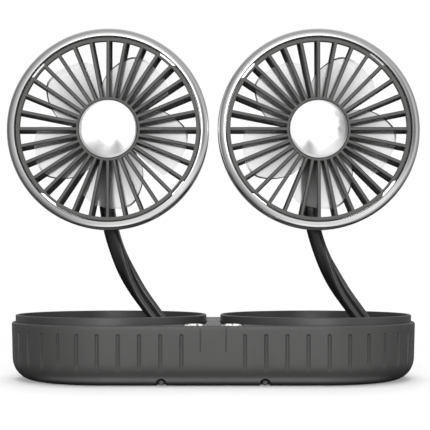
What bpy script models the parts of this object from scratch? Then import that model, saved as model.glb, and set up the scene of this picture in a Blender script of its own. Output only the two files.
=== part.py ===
# Dual head car fan: two round fan heads on curved arms, each arm standing in a turning cup of one long base.
# Metres, +Z up. The origin is on the floor under the middle of the base, and the heads face -Y.

import math

import bmesh
import bpy
from mathutils import Matrix, Vector

# General clearances
FIT_GAP = 0.0003            # between seated pieces
RUN_GAP = 0.0004            # between pieces that turn on each other
CLOSE_GAP = 0.00015         # round a pin, a screw or a shaft
CUT_OVERRUN = 0.0020        # how far a cutter passes the faces it cuts
FUSE_DEPTH = 0.0006         # how far a united shape reaches into its carrier

# Base casing, drawn round the two turning cups
COLLAR_RADIUS = 0.0522      # outside of a turning cup
COLLAR_GAP = 0.0076         # between the two cups
CUP_CLEARANCE = 0.0007      # from a cup to the inside of the casing's wall
BASE_HEIGHT = 0.0313
BASE_FOOT_FILLET = 0.0120
BASE_EDGE_ROUND = 0.0008
CASING_WALL = 0.0013
CASING_LAND = 0.0012        # flat of the casing's underside round the bottom cover
DECK_THICKNESS = 0.0020
BASE_END_STEPS = 16         # facets on each round end
FILLET_STEPS = 4
HOLLOW_FILLET_STEPS = 2
COVER_END_STEPS = 12

# Grip grooves round the casing
GROOVE_PITCH = 0.0107
GROOVE_WIDTH = 0.0018
GROOVE_DEPTH = 0.0006
GROOVE_TOP_DROP = 0.0043    # from the casing's top edge
GROOVE_LENGTH = 0.0175
GROOVE_PLAIN_COUNT = 1      # pitches left plain each side of the front middle
GROOVE_REAR_PLAIN = 0.0220  # plain length each side of the rear middle, round the cord inlet
SEAM_OFFSET = 0.0065        # two fine seams at the front middle
SEAM_WIDTH = 0.0005
SEAM_DEPTH = 0.0004
SEAM_LENGTH = 0.0130

# Foot pad and bottom cover
PAD_STAND = 0.0004          # the pad stands this much below the casing
PAD_THICKNESS = 0.0012
PAD_MARGIN = 0.0110         # from the cover's edge to the pad's pocket
COVER_THICKNESS = 0.0024
COVER_SCREW_SPACING_X = 0.0140
COVER_SCREW_EDGE = 0.0047   # from the cover's long edge to the screws
COVER_SCREW_HEAD_RADIUS = 0.0024
COVER_SCREW_HEAD_HEIGHT = 0.0012
COVER_SCREW_SHANK_RADIUS = 0.0011
COVER_SCREW_LENGTH = 0.0075
SCREW_POST_RADIUS = 0.0030

# Turning cups
COLLAR_RISE = 0.0039        # above the deck
COLLAR_LIP = 0.0005
CUP_WALL = 0.0014
CUP_FLOOR = 0.0015
CUP_UNDERSIDE = 0.0095      # height of the cup's underside
CUP_CORNER = 0.0030
CUP_STEPS = 34
SPIGOT_RADIUS = 0.0070
SPIGOT_WALL = 0.0016
SPIGOT_LENGTH = 0.0062
BUSH_WALL = 0.0035
BUSH_FLANGE = 0.0025
BUSH_FLANGE_THICKNESS = 0.0008
BUSH_BOSS_WALL = 0.0020
RETAINER_THICKNESS = 0.0007
RETAINER_WIDTH = 0.0024
BUSH_STEPS = 16

# Curved arm
TILT_AXIS_HEIGHT = 0.1343   # height of the head's centre and of its tilt pin
ARM_TOP_LEAN = math.radians(15.0)
ARM_FOOT_LEAN = math.radians(36.0)
ARM_FOOT_SETBACK = 0.01415  # from the cup's inner wall to the foot's end
ARM_FOOT_HEIGHT = 0.0059    # foot's end above the cup's floor
ARM_WIDTH = 0.0086
ARM_DEPTH = 0.0084
ARM_CORNER = 0.0022
ARM_CHANNEL_WIDTH = 0.0040
ARM_CHANNEL_DEPTH = 0.0030
ARM_TWIST = math.radians(38.0)   # the channel turns forward towards the foot
ARM_BEND_STEPS = 10
ARM_STRAIGHT_STEPS = 3
LINER_RECESS = 0.0008
SOCKET_DEPTH = 0.0060
SOCKET_WALL = 0.0025
SOCKET_EDGE = 0.0010

# Tilt joint
KNUCKLE_RADIUS = 0.0060
KNUCKLE_WIDTH = 0.0050
PIN_RADIUS = 0.0018
PIN_HEAD_RADIUS = 0.0030
PIN_HEAD_THICKNESS = 0.0010
EAR_THICKNESS = 0.0025
EAR_RADIUS = 0.0058
EAR_STEPS = 8
BRACKET_CLEARANCE = 0.0008  # between the knuckle and the bracket's plate
BRACKET_PLATE = 0.0044      # thickness of the bracket's plate

# Fan head, a little wider than its cup
RING_OVERHANG = 0.0015      # the bright ring's outside beyond the cup's
RING_WIDTH = 0.0046
RING_WALL = 0.0016          # from the ring's outside to the duct's
RING_DEPTH = 0.0112
RING_CROWN_DEPTH = 0.0030   # the front curves back this far from its inner edge to the outside
RING_CROWN_STEPS = 4
RING_SEAT_OVERLAP = 0.0029  # the flange behind the grille reaches this far in under its rim
RING_SEAT_THICKNESS = 0.0012
RING_STEPS = 40
GRILLE_DEPTH = 0.0015       # grille face behind the ring's front edge
GRILLE_THICKNESS = 0.0030
GRILLE_CLEARANCE = 0.0004   # from the grille's rim to the ring
GRILLE_RIM = 0.0020
GRILLE_TAB_COUNT = 4
GRILLE_TAB_STEP = 0.0010    # the rim is this much smaller at a tab
SPOKE_COUNT = 32
SPOKE_WIDTH = 0.0018
HUB_RING_RADIUS = 0.0170
HUB_RING_WALL = 0.0012
HUB_FLOOR = 0.0010
CAP_DOME = 0.0012
CAP_EDGE = 0.0026
CAP_SHOULDER_SHARE = 0.67
CAP_STEPS = 24

# Duct with its rear grille
DUCT_WALL = 0.0017
REAR_GRILLE_DEPTH = 0.0145  # from the front grille's face to the rear grille's face
REAR_GRILLE_THICKNESS = 0.0025
MOTOR_RADIUS = 0.0110
MOTOR_LENGTH = 0.0068
MOTOR_EDGE = 0.0005
MOTOR_HOLDER_WALL = 0.0024
MOTOR_STEPS = 20
SHAFT_RADIUS = 0.0010
SHAFT_STEPS = 10

# Impeller
BLADE_COUNT = 5
BLADE_THICKNESS = 0.0011
BLADE_GAP = 0.0010          # behind the front grille
BLADE_BACK_GAP = 0.0012     # ahead of the rear grille
BLADE_TIP_AXIAL_SHARE = 0.55
BLADE_LEAD = math.radians(103.0)
BLADE_SWEEP = math.radians(70.0)
BLADE_COLUMNS = 5
BLADE_ROWS = 2
BLADE_TIP_GAP = 0.0068      # from the blade tips to the duct's wall
BLADE_REACH_SHARES = (0.45, 0.74, 0.86, 0.945, 0.985, 1.0, 0.985, 0.955, 0.90, 0.80)
IMPELLER_HUB_RADIUS = 0.0152
IMPELLER_HUB_WALL = 0.0014
IMPELLER_HUB_EDGE = 0.0005
IMPELLER_BOSS_RADIUS = 0.0030
IMPELLER_STEPS = 15

# Electrics in the base
BOARD_END = 0.0085          # the board reaches this far past each button's axis
BOARD_WIDTH = 0.0160
BOARD_THICKNESS = 0.0016
BUTTON_SPACING = 0.0530
BUTTON_AXIS_HEIGHT = 0.0024
BUTTON_RADIUS = 0.0014
BUTTON_TRAVEL = 0.0008
BUTTON_TIP_DEPTH = 0.0055   # tip behind the casing's front face
BUTTON_STEM_LENGTH = 0.0042
BUTTON_PLATE_WIDTH = 0.0040
BUTTON_PLATE_THICKNESS = 0.0012
BUTTON_PLATE_TOP = 0.0056
BUTTON_PLATE_BOTTOM = 0.0009
BUTTON_STEPS = 12
BUTTON_DOME_STEPS = 3
NOTCH_RADIUS = 0.0029
NOTCH_AXIS_HEIGHT = 0.0015
SWITCH_WIDTH = 0.0060
SWITCH_DEPTH = 0.0042
SWITCH_HEIGHT = 0.0034
SWITCH_GAP = 0.0002         # pressed button to switch
LENS_LENGTH = 0.0124
LENS_WIDTH = 0.0042
LENS_OFFSET = 0.0094        # from the middle of the base to the lens's centre
LENS_EDGE = 0.0012          # from the casing's front face to the lens
LENS_SINK = 0.0004          # the lens's seat below the recess
LENS_RISE = 0.0009          # the lens's crown above the deck
LENS_CROWN_SHARE = 0.5      # size of the crown's flat, of the lens's outline
LENS_STEPS = 10
RECESS_DEPTH = 0.0009       # of the deck beside each cup, round the lens
RECESS_INNER = 0.0038       # from the middle of the base
RECESS_OUTER = 0.0170
RECESS_EDGE = 0.0008        # from the casing's front face
INLET_HEIGHT = 0.0170
INLET_RADIUS = 0.0040
INLET_BORE = 0.0020
INLET_FLANGE = 0.0012
INLET_FLANGE_THICKNESS = 0.0010
INLET_STEPS = 16

# Places worked out from the sizes above
HALF_SPACING = COLLAR_RADIUS + COLLAR_GAP / 2
BASE_END_RADIUS = COLLAR_RADIUS + CUP_CLEARANCE + CASING_WALL
DECK_TOP = BASE_HEIGHT
DECK_UNDERSIDE = DECK_TOP - DECK_THICKNESS
CUP_OPENING_RADIUS = COLLAR_RADIUS + RUN_GAP
COLLAR_TOP = DECK_TOP + COLLAR_RISE
CUP_FLOOR_TOP = CUP_UNDERSIDE + CUP_FLOOR
COVER_BOTTOM = PAD_STAND
COVER_TOP = COVER_BOTTOM + COVER_THICKNESS
CASING_THROAT = BASE_END_RADIUS - BASE_FOOT_FILLET - CASING_LAND
COVER_RADIUS = CASING_THROAT - FIT_GAP
COVER_SCREW_Y = COVER_RADIUS - COVER_SCREW_EDGE
POCKET_TOP = PAD_THICKNESS + FIT_GAP
FRONT_FACE = -BASE_END_RADIUS
SIDES = (("left", -1), ("right", 1))

# Radii of the head, from the outside in
RING_RADIUS = COLLAR_RADIUS + RING_OVERHANG
RING_INNER_RADIUS = RING_RADIUS - RING_WIDTH
GRILLE_RADIUS = RING_INNER_RADIUS - GRILLE_CLEARANCE
RING_SEAT_RADIUS = GRILLE_RADIUS - RING_SEAT_OVERLAP
DUCT_RADIUS = RING_RADIUS - RING_WALL
BLADE_TIP_RADIUS = DUCT_RADIUS - DUCT_WALL - BLADE_TIP_GAP
HOLDER_RADIUS = MOTOR_RADIUS + FIT_GAP + MOTOR_HOLDER_WALL

# Places along the head's axis, from the tilt axis forward
BRACKET_BACK_Y = -KNUCKLE_RADIUS - BRACKET_CLEARANCE
BRACKET_FRONT_Y = BRACKET_BACK_Y - BRACKET_PLATE
REAR_BACK_Y = BRACKET_FRONT_Y - FIT_GAP
REAR_FRONT_Y = REAR_BACK_Y - REAR_GRILLE_THICKNESS
MOTOR_BACK_Y = REAR_BACK_Y
MOTOR_FRONT_Y = MOTOR_BACK_Y - MOTOR_LENGTH
GRILLE_FRONT_Y = REAR_FRONT_Y - REAR_GRILLE_DEPTH
GRILLE_BACK_Y = GRILLE_FRONT_Y + GRILLE_THICKNESS
RING_FRONT_Y = GRILLE_FRONT_Y - GRILLE_DEPTH
SEAT_FRONT_Y = GRILLE_BACK_Y + FIT_GAP
SEAT_BACK_Y = SEAT_FRONT_Y + RING_SEAT_THICKNESS
BLADE_FRONT_Y = GRILLE_BACK_Y + BLADE_GAP
BLADE_AXIAL = REAR_FRONT_Y - BLADE_BACK_GAP - BLADE_THICKNESS - BLADE_FRONT_Y

# The arm's bend and straight, from its two leans and the places of its two ends
ARM_ACROSS = COLLAR_RADIUS - CUP_WALL - ARM_FOOT_SETBACK
ARM_DROP = TILT_AXIS_HEIGHT - CUP_FLOOR_TOP - ARM_FOOT_HEIGHT
ARM_TURN = ARM_TOP_LEAN + ARM_FOOT_LEAN
ARM_BEND_RADIUS = (ARM_DROP * math.sin(ARM_FOOT_LEAN)
                   - ARM_ACROSS * math.cos(ARM_FOOT_LEAN)) / (1 - math.cos(ARM_TURN))
ARM_STRAIGHT = (ARM_ACROSS * (math.sin(ARM_TOP_LEAN) + math.sin(ARM_FOOT_LEAN))
                - ARM_DROP * (math.cos(ARM_TOP_LEAN) - math.cos(ARM_FOOT_LEAN))) / (1 - math.cos(ARM_TURN))


def clear_scene():
    for item in list(bpy.data.objects):
        bpy.data.objects.remove(item, do_unlink=True)


def make_material(name, colour, roughness, metallic):
    material = bpy.data.materials.new(name)
    material.use_nodes = True
    shader = material.node_tree.nodes["Principled BSDF"]
    shader.inputs["Base Color"].default_value = (*colour, 1.0)
    shader.inputs["Roughness"].default_value = roughness
    shader.inputs["Metallic"].default_value = metallic
    return material


def make_materials():
    return {
        "casing": make_material("casing_plastic", (0.105, 0.105, 0.103), 0.45, 0.0),
        "cup": make_material("cup_plastic", (0.070, 0.070, 0.069), 0.50, 0.0),
        "arm": make_material("arm_plastic", (0.022, 0.022, 0.022), 0.30, 0.0),
        "liner": make_material("liner_plastic", (0.055, 0.055, 0.055), 0.30, 0.0),
        "grille": make_material("grille_plastic", (0.100, 0.100, 0.097), 0.45, 0.0),
        "rear": make_material("rear_plastic", (0.012, 0.012, 0.012), 0.40, 0.0),
        "bright": make_material("bright_plating", (0.85, 0.85, 0.86), 0.08, 1.0),
        "blade": make_material("blade_plastic", (0.86, 0.87, 0.88), 0.30, 0.0),
        "steel": make_material("steel", (0.55, 0.55, 0.56), 0.30, 1.0),
        "rubber": make_material("rubber", (0.035, 0.035, 0.035), 0.85, 0.0),
        "board": make_material("board", (0.02, 0.16, 0.07), 0.50, 0.0),
        "lens": make_material("lens", (0.92, 0.92, 0.90), 0.20, 0.0),
        "bush": make_material("bush_plastic", (0.75, 0.74, 0.70), 0.45, 0.0),
    }


def finish_mesh(name, bm, material, smooth_angle=math.radians(32.0)):
    bmesh.ops.recalc_face_normals(bm, faces=bm.faces)
    mesh = bpy.data.meshes.new(name)
    bm.to_mesh(mesh)
    bm.free()
    mesh.shade_smooth()
    mesh.set_sharp_from_angle(angle=smooth_angle)
    item = bpy.data.objects.new(name, mesh)
    bpy.context.scene.collection.objects.link(item)
    item.data.materials.append(material)
    return item


def make_empty(name, place, parent=None):
    empty = bpy.data.objects.new(name, None)
    bpy.context.scene.collection.objects.link(empty)
    empty.location = place
    if parent:
        empty.parent = parent
    return empty


def hold(item, parent, place=(0.0, 0.0, 0.0)):
    item.parent = parent
    item.location = place
    return item


def as_cutter(item):
    item.hide_render = True
    item.display_type = "WIRE"
    return item


def boolean(item, other, operation):
    modifier = item.modifiers.new(f"{operation.lower()}_{other.name}", "BOOLEAN")
    modifier.operation = operation
    modifier.solver = "EXACT"
    modifier.object = other
    other.parent = item.parent
    as_cutter(other)


def cut(item, other):
    boolean(item, other, "DIFFERENCE")


def unite(item, other):
    boolean(item, other, "UNION")


def add_box(bm, low, high):
    size = [b - a for a, b in zip(low, high)]
    middle = [(a + b) / 2 for a, b in zip(low, high)]
    matrix = Matrix.Translation(middle) @ Matrix.Diagonal((*size, 1.0))
    return bmesh.ops.create_cube(bm, size=1.0, matrix=matrix)["verts"]


def make_box(name, low, high, material):
    bm = bmesh.new()
    add_box(bm, low, high)
    return finish_mesh(name, bm, material)


def axis_point(radius, angle, along, axis):
    across = radius * math.cos(angle)
    up = radius * math.sin(angle)
    if axis == "Z":
        return Vector((across, up, along))
    if axis == "Y":
        return Vector((across, along, up))
    return Vector((along, across, up))


def add_turned(bm, profile, steps, axis="Z", centre=(0.0, 0.0, 0.0)):
    # The profile is (radius, place along the axis); a point on the axis closes the end with a fan.
    middle = Vector(centre)
    rings = []
    for radius, along in profile:
        if radius == 0.0:
            rings.append([bm.verts.new(middle + axis_point(0.0, 0.0, along, axis))])
            continue
        ring = []
        for step in range(steps):
            angle = 2 * math.pi * step / steps
            ring.append(bm.verts.new(middle + axis_point(radius, angle, along, axis)))
        rings.append(ring)
    closed = profile[0][0] != 0.0
    last = len(rings) if closed else len(rings) - 1
    for index in range(last):
        join_rings(bm, rings[index], rings[(index + 1) % len(rings)])


def join_rings(bm, first, second):
    count = max(len(first), len(second))
    for step in range(count):
        ahead = (step + 1) % count
        if len(first) == 1:
            bm.faces.new((first[0], second[step], second[ahead]))
        elif len(second) == 1:
            bm.faces.new((first[step], first[ahead], second[0]))
        else:
            bm.faces.new((first[step], first[ahead], second[ahead], second[step]))


def make_turned(name, profile, steps, material, axis="Z", centre=(0.0, 0.0, 0.0)):
    bm = bmesh.new()
    add_turned(bm, profile, steps, axis, centre)
    return finish_mesh(name, bm, material)


def rod_profile(radius, start, end):
    return [(0.0, start), (radius, start), (radius, end), (0.0, end)]


def tube_profile(inner, outer, start, end):
    return [(inner, start), (outer, start), (outer, end), (inner, end)]


def stadium_points(radius, steps):
    # Outline round both cup axes, counter-clockwise from the front of the right end.
    points = []
    for side in (1, -1):
        start = -math.pi / 2 if side == 1 else math.pi / 2
        for step in range(steps + 1):
            angle = start + math.pi * step / steps
            points.append((side * HALF_SPACING + radius * math.cos(angle), radius * math.sin(angle)))
    return points


def add_stadium(bm, levels, steps):
    # Each level is (radius, height); the first and the last are closed with a flat face.
    rings = []
    for radius, height in levels:
        rings.append([bm.verts.new((x, y, height)) for x, y in stadium_points(radius, steps)])
    for lower, upper in zip(rings, rings[1:]):
        join_rings(bm, lower, upper)
    bm.faces.new(rings[0])
    bm.faces.new(rings[-1])


def foot_levels(radius, fillet, bottom, steps):
    levels = []
    for step in range(steps + 1):
        angle = math.pi / 2 * step / steps
        levels.append((radius - fillet * (1 - math.sin(angle)), bottom + fillet * (1 - math.cos(angle))))
    return levels


def stadium_place(distance, radius):
    # Point and outward angle at a distance round the outline from the front middle, towards +X.
    arc = math.pi * radius
    if distance <= HALF_SPACING:
        return (distance, -radius), -math.pi / 2
    if distance <= HALF_SPACING + arc:
        angle = -math.pi / 2 + (distance - HALF_SPACING) / radius
        return (HALF_SPACING + radius * math.cos(angle), radius * math.sin(angle)), angle
    return (HALF_SPACING - (distance - HALF_SPACING - arc), radius), math.pi / 2


def add_groove(bm, place, angle, width, depth, top, length):
    # A bar with a pointed round top, standing across the casing's outer face.
    half = width / 2
    crown = top - half
    bottom = top - length
    outline = [(-half, bottom), (half, bottom), (half, crown), (0.0, top), (-half, crown)]
    outward = Vector((math.cos(angle), math.sin(angle), 0.0))
    along = Vector((-math.sin(angle), math.cos(angle), 0.0))
    start = Vector((*place, 0.0))
    faces = []
    for reach in (-depth, CUT_OVERRUN):
        ring = []
        for across, height in outline:
            ring.append(bm.verts.new(start + outward * reach + along * across + Vector((0.0, 0.0, height))))
        faces.append(ring)
    join_rings(bm, faces[0], faces[1])
    bm.faces.new(faces[0])
    bm.faces.new(faces[1])


def groove_distances():
    total = 2 * HALF_SPACING + math.pi * BASE_END_RADIUS
    distances = []
    index = GROOVE_PLAIN_COUNT
    while (index + 1 / 2) * GROOVE_PITCH < total - GROOVE_REAR_PLAIN:
        distances.append((index + 1 / 2) * GROOVE_PITCH)
        index += 1
    return distances


def make_groove_cutter(material):
    bm = bmesh.new()
    top = DECK_TOP - GROOVE_TOP_DROP
    for distance in groove_distances():
        (x, y), angle = stadium_place(distance, BASE_END_RADIUS)
        add_groove(bm, (x, y), angle, GROOVE_WIDTH, GROOVE_DEPTH, top, GROOVE_LENGTH)
        add_groove(bm, (-x, y), math.pi - angle, GROOVE_WIDTH, GROOVE_DEPTH, top, GROOVE_LENGTH)
    for side in (-1, 1):
        low = (side * SEAM_OFFSET - SEAM_WIDTH / 2, FRONT_FACE - CUT_OVERRUN, DECK_TOP - SEAM_LENGTH)
        high = (side * SEAM_OFFSET + SEAM_WIDTH / 2, FRONT_FACE + SEAM_DEPTH, DECK_TOP - 2 * BASE_EDGE_ROUND)
        add_box(bm, low, high)
    return finish_mesh("groove_cutter", bm, material)


def screw_places():
    places = []
    for x in (-COVER_SCREW_SPACING_X / 2, COVER_SCREW_SPACING_X / 2):
        for y in (-COVER_SCREW_Y, COVER_SCREW_Y):
            places.append((x, y))
    return places


def add_lens(bm, side, grow, levels):
    # An eye-shaped outline with a tip at each end, along the casing's front edge; the levels are (share, height).
    centre_y = FRONT_FACE + LENS_EDGE + LENS_WIDTH / 2
    half_length = LENS_LENGTH / 2 + grow
    half_width = LENS_WIDTH / 2 + grow
    rings = []
    for share, height in levels:
        ring = []
        for step in range(LENS_STEPS):
            angle = 2 * math.pi * step / LENS_STEPS
            along = math.cos(angle) * half_length * share
            across = math.sin(angle) * abs(math.sin(angle)) * half_width * share
            ring.append(bm.verts.new((side * LENS_OFFSET + along, centre_y + across, height)))
        rings.append(ring)
    for lower, upper in zip(rings, rings[1:]):
        join_rings(bm, lower, upper)
    bm.faces.new(rings[0])
    bm.faces.new(rings[-1])


def add_recess(bm, side):
    # The sunk part of the deck between a cup and the front edge; its slanting side lies inside the cup's opening.
    front = FRONT_FACE + RECESS_EDGE
    collar_y = -math.sqrt(CUP_OPENING_RADIUS ** 2 - (HALF_SPACING - RECESS_OUTER) ** 2)
    outline = [(RECESS_INNER, front), (RECESS_OUTER, front)]
    outline += [(RECESS_OUTER, collar_y + CUT_OVERRUN), (RECESS_INNER, 0.0)]
    rings = []
    for height in (DECK_TOP - RECESS_DEPTH, DECK_TOP + CUT_OVERRUN):
        rings.append([bm.verts.new((side * x, y, height)) for x, y in outline])
    join_rings(bm, rings[0], rings[1])
    bm.faces.new(rings[0])
    bm.faces.new(rings[1])


def make_casing(materials):
    levels = foot_levels(BASE_END_RADIUS, BASE_FOOT_FILLET, PAD_STAND, FILLET_STEPS)
    levels.append((BASE_END_RADIUS, DECK_TOP - BASE_EDGE_ROUND))
    levels.append((BASE_END_RADIUS - BASE_EDGE_ROUND, DECK_TOP))
    bm = bmesh.new()
    add_stadium(bm, levels, BASE_END_STEPS)
    casing = finish_mesh("base_casing", bm, materials["casing"])

    inner_radius = BASE_END_RADIUS - CASING_WALL
    inner_fillet = BASE_FOOT_FILLET - CASING_WALL
    floor = PAD_STAND + CASING_WALL
    hollow = foot_levels(inner_radius, inner_fillet, floor, HOLLOW_FILLET_STEPS)
    hollow = [(CASING_THROAT, PAD_STAND - CUT_OVERRUN), (CASING_THROAT, floor)] + hollow
    hollow.append((inner_radius, DECK_UNDERSIDE))
    bm = bmesh.new()
    add_stadium(bm, hollow, BASE_END_STEPS)
    cut(casing, finish_mesh("hollow_cutter", bm, materials["casing"]))

    bm = bmesh.new()
    for label, side in SIDES:
        openings = rod_profile(CUP_OPENING_RADIUS, DECK_UNDERSIDE - CUT_OVERRUN, DECK_TOP + CUT_OVERRUN)
        add_turned(bm, openings, CUP_STEPS, "Z", (side * HALF_SPACING, 0.0, 0.0))
        notch = rod_profile(NOTCH_RADIUS, FRONT_FACE - CUT_OVERRUN, -COVER_RADIUS)
        add_turned(bm, notch, BUTTON_STEPS, "Y", (side * BUTTON_SPACING / 2, 0.0, NOTCH_AXIS_HEIGHT))
    inside = BASE_END_RADIUS - CASING_WALL - CUT_OVERRUN
    outside = BASE_END_RADIUS + CUT_OVERRUN
    seat = BASE_END_RADIUS - INLET_FLANGE_THICKNESS
    seat_radius = INLET_RADIUS + INLET_FLANGE + FIT_GAP
    bore = [(0.0, inside), (INLET_RADIUS, inside), (INLET_RADIUS, seat), (seat_radius, seat)]
    bore += [(seat_radius, outside), (0.0, outside)]
    add_turned(bm, bore, INLET_STEPS, "Y", (0.0, 0.0, INLET_HEIGHT))
    cut(casing, finish_mesh("opening_cutter", bm, materials["casing"]))
    bm = bmesh.new()
    for label, side in SIDES:
        add_recess(bm, side)
    cut(casing, finish_mesh("recess_cutter", bm, materials["casing"]))
    bm = bmesh.new()
    for label, side in SIDES:
        add_lens(bm, side, FIT_GAP / 2, [(1, DECK_TOP - RECESS_DEPTH - LENS_SINK), (1, DECK_TOP + CUT_OVERRUN)])
    cut(casing, finish_mesh("lens_cutter", bm, materials["casing"]))
    cut(casing, make_groove_cutter(materials["casing"]))

    bm = bmesh.new()
    for x, y in screw_places():
        post = rod_profile(SCREW_POST_RADIUS, COVER_TOP + FIT_GAP, DECK_UNDERSIDE + FUSE_DEPTH)
        add_turned(bm, post, SHAFT_STEPS, "Z", (x, y, 0.0))
    unite(casing, finish_mesh("post_adder", bm, materials["casing"]))
    bm = bmesh.new()
    for x, y in screw_places():
        pilot = rod_profile(COVER_SCREW_SHANK_RADIUS + CLOSE_GAP, COVER_TOP - CUT_OVERRUN,
                            COVER_SCREW_LENGTH + FIT_GAP)
        add_turned(bm, pilot, SHAFT_STEPS, "Z", (x, y, 0.0))
    cut(casing, finish_mesh("pilot_cutter", bm, materials["casing"]))
    return casing


def make_cover(materials):
    bm = bmesh.new()
    add_stadium(bm, [(COVER_RADIUS, COVER_BOTTOM), (COVER_RADIUS, COVER_TOP)], BASE_END_STEPS)
    cover = finish_mesh("bottom_cover", bm, materials["casing"])
    bm = bmesh.new()
    pocket_radius = COVER_RADIUS - PAD_MARGIN
    pocket = [(pocket_radius, COVER_BOTTOM - CUT_OVERRUN), (pocket_radius, POCKET_TOP)]
    add_stadium(bm, pocket, COVER_END_STEPS)
    cut(cover, finish_mesh("pocket_cutter", bm, materials["casing"]))
    boss_inner = SPIGOT_RADIUS + FIT_GAP + BUSH_WALL + FIT_GAP
    boss_top = CUP_UNDERSIDE - FIT_GAP - BUSH_FLANGE_THICKNESS - FIT_GAP
    bm = bmesh.new()
    for label, side in SIDES:
        boss = tube_profile(boss_inner, boss_inner + BUSH_BOSS_WALL, COVER_TOP - FUSE_DEPTH, boss_top)
        add_turned(bm, boss, BUSH_STEPS, "Z", (side * HALF_SPACING, 0.0, 0.0))
    unite(cover, finish_mesh("boss_adder", bm, materials["casing"]))
    bm = bmesh.new()
    for x, y in screw_places():
        sink = COVER_BOTTOM + COVER_SCREW_HEAD_HEIGHT + FIT_GAP
        head = COVER_SCREW_HEAD_RADIUS + FIT_GAP
        shank = COVER_SCREW_SHANK_RADIUS + CLOSE_GAP
        profile = [(0.0, COVER_BOTTOM - CUT_OVERRUN), (head, COVER_BOTTOM - CUT_OVERRUN), (head, sink)]
        profile += [(shank, sink), (shank, COVER_TOP + CUT_OVERRUN), (0.0, COVER_TOP + CUT_OVERRUN)]
        add_turned(bm, profile, SHAFT_STEPS, "Z", (x, y, 0.0))
    cut(cover, finish_mesh("screw_cutter", bm, materials["casing"]))
    return cover


def make_pad(materials):
    radius = COVER_RADIUS - PAD_MARGIN - FIT_GAP
    bm = bmesh.new()
    add_stadium(bm, [(radius, 0.0), (radius, PAD_THICKNESS)], COVER_END_STEPS)
    return finish_mesh("foot_pad", bm, materials["rubber"])


def make_bush(label, side, materials):
    inner = SPIGOT_RADIUS + FIT_GAP
    outer = inner + BUSH_WALL
    top = CUP_UNDERSIDE - FIT_GAP
    low = COVER_TOP + FIT_GAP + RETAINER_THICKNESS + 2 * FIT_GAP
    flange = top - BUSH_FLANGE_THICKNESS
    profile = [(inner, low), (outer, low), (outer, flange), (outer + BUSH_FLANGE, flange)]
    profile += [(outer + BUSH_FLANGE, top), (inner, top)]
    place = (side * HALF_SPACING, 0.0, 0.0)
    return make_turned(f"{label}_turning_bush", profile, BUSH_STEPS, materials["bush"], "Z", place)


def make_button(label, side, materials):
    # A domed rod in the notch of the casing, with a plate behind that meets the switch.
    x = side * BUTTON_SPACING / 2
    tip = FRONT_FACE + BUTTON_TIP_DEPTH
    plate_front = tip + BUTTON_STEM_LENGTH
    profile = [(0.0, tip)]
    for step in range(1, BUTTON_DOME_STEPS + 1):
        angle = math.pi / 2 * step / BUTTON_DOME_STEPS
        profile.append((BUTTON_RADIUS * math.sin(angle), tip + BUTTON_RADIUS * (1 - math.cos(angle))))
    profile += [(BUTTON_RADIUS, plate_front + FUSE_DEPTH), (0.0, plate_front + FUSE_DEPTH)]
    holder = make_empty(f"{label}_button_slide", (x, tip, BUTTON_AXIS_HEIGHT))
    low = (-BUTTON_PLATE_WIDTH / 2, plate_front - tip, BUTTON_PLATE_BOTTOM - BUTTON_AXIS_HEIGHT)
    plate_back = plate_front + BUTTON_PLATE_THICKNESS
    high = (BUTTON_PLATE_WIDTH / 2, plate_back - tip, BUTTON_PLATE_TOP - BUTTON_AXIS_HEIGHT)
    button = make_box(f"{label}_button", low, high, materials["rubber"])
    hold(button, holder)
    stem = make_turned(f"{label}_button_stem", profile, BUTTON_STEPS, materials["rubber"], "Y", (0.0, -tip, 0.0))
    unite(button, stem)
    return button


def switch_front():
    plate_back = FRONT_FACE + BUTTON_TIP_DEPTH + BUTTON_STEM_LENGTH + BUTTON_PLATE_THICKNESS
    return plate_back + BUTTON_TRAVEL + SWITCH_GAP


def make_switch(label, side, materials):
    x = side * BUTTON_SPACING / 2
    low = (x - SWITCH_WIDTH / 2, switch_front(), COVER_TOP + FIT_GAP)
    high = (x + SWITCH_WIDTH / 2, switch_front() + SWITCH_DEPTH, COVER_TOP + FIT_GAP + SWITCH_HEIGHT)
    return make_box(f"{label}_switch", low, high, materials["steel"])


def make_board(materials):
    front = switch_front() + SWITCH_DEPTH + FIT_GAP
    half = BUTTON_SPACING / 2 + BOARD_END
    low = (-half, front, COVER_TOP + FIT_GAP)
    high = (half, front + BOARD_WIDTH, COVER_TOP + FIT_GAP + BOARD_THICKNESS)
    board = make_box("control_board", low, high, materials["board"])
    bm = bmesh.new()
    for x, y in screw_places():
        hole = rod_profile(SCREW_POST_RADIUS + FIT_GAP, COVER_BOTTOM, COVER_TOP + CUT_OVERRUN * 2)
        add_turned(bm, hole, SHAFT_STEPS, "Z", (x, y, 0.0))
    cut(board, finish_mesh("board_cutter", bm, materials["board"]))
    return board


def make_lens(label, side, materials):
    bm = bmesh.new()
    bottom = DECK_TOP - RECESS_DEPTH - LENS_SINK + FIT_GAP
    add_lens(bm, side, -FIT_GAP / 2, [(1, bottom), (1, DECK_TOP), (LENS_CROWN_SHARE, DECK_TOP + LENS_RISE)])
    return finish_mesh(f"{label}_indicator_lens", bm, materials["lens"])


def make_inlet(materials):
    back = BASE_END_RADIUS
    flange = back - INLET_FLANGE_THICKNESS + FIT_GAP
    inside = back - CASING_WALL - INLET_FLANGE_THICKNESS
    body = INLET_RADIUS - FIT_GAP
    profile = [(INLET_BORE, inside), (body, inside), (body, flange), (INLET_RADIUS + INLET_FLANGE, flange)]
    profile += [(INLET_RADIUS + INLET_FLANGE, back), (INLET_BORE, back)]
    return make_turned("cord_inlet", profile, INLET_STEPS, materials["rubber"], "Y", (0.0, 0.0, INLET_HEIGHT))


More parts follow.
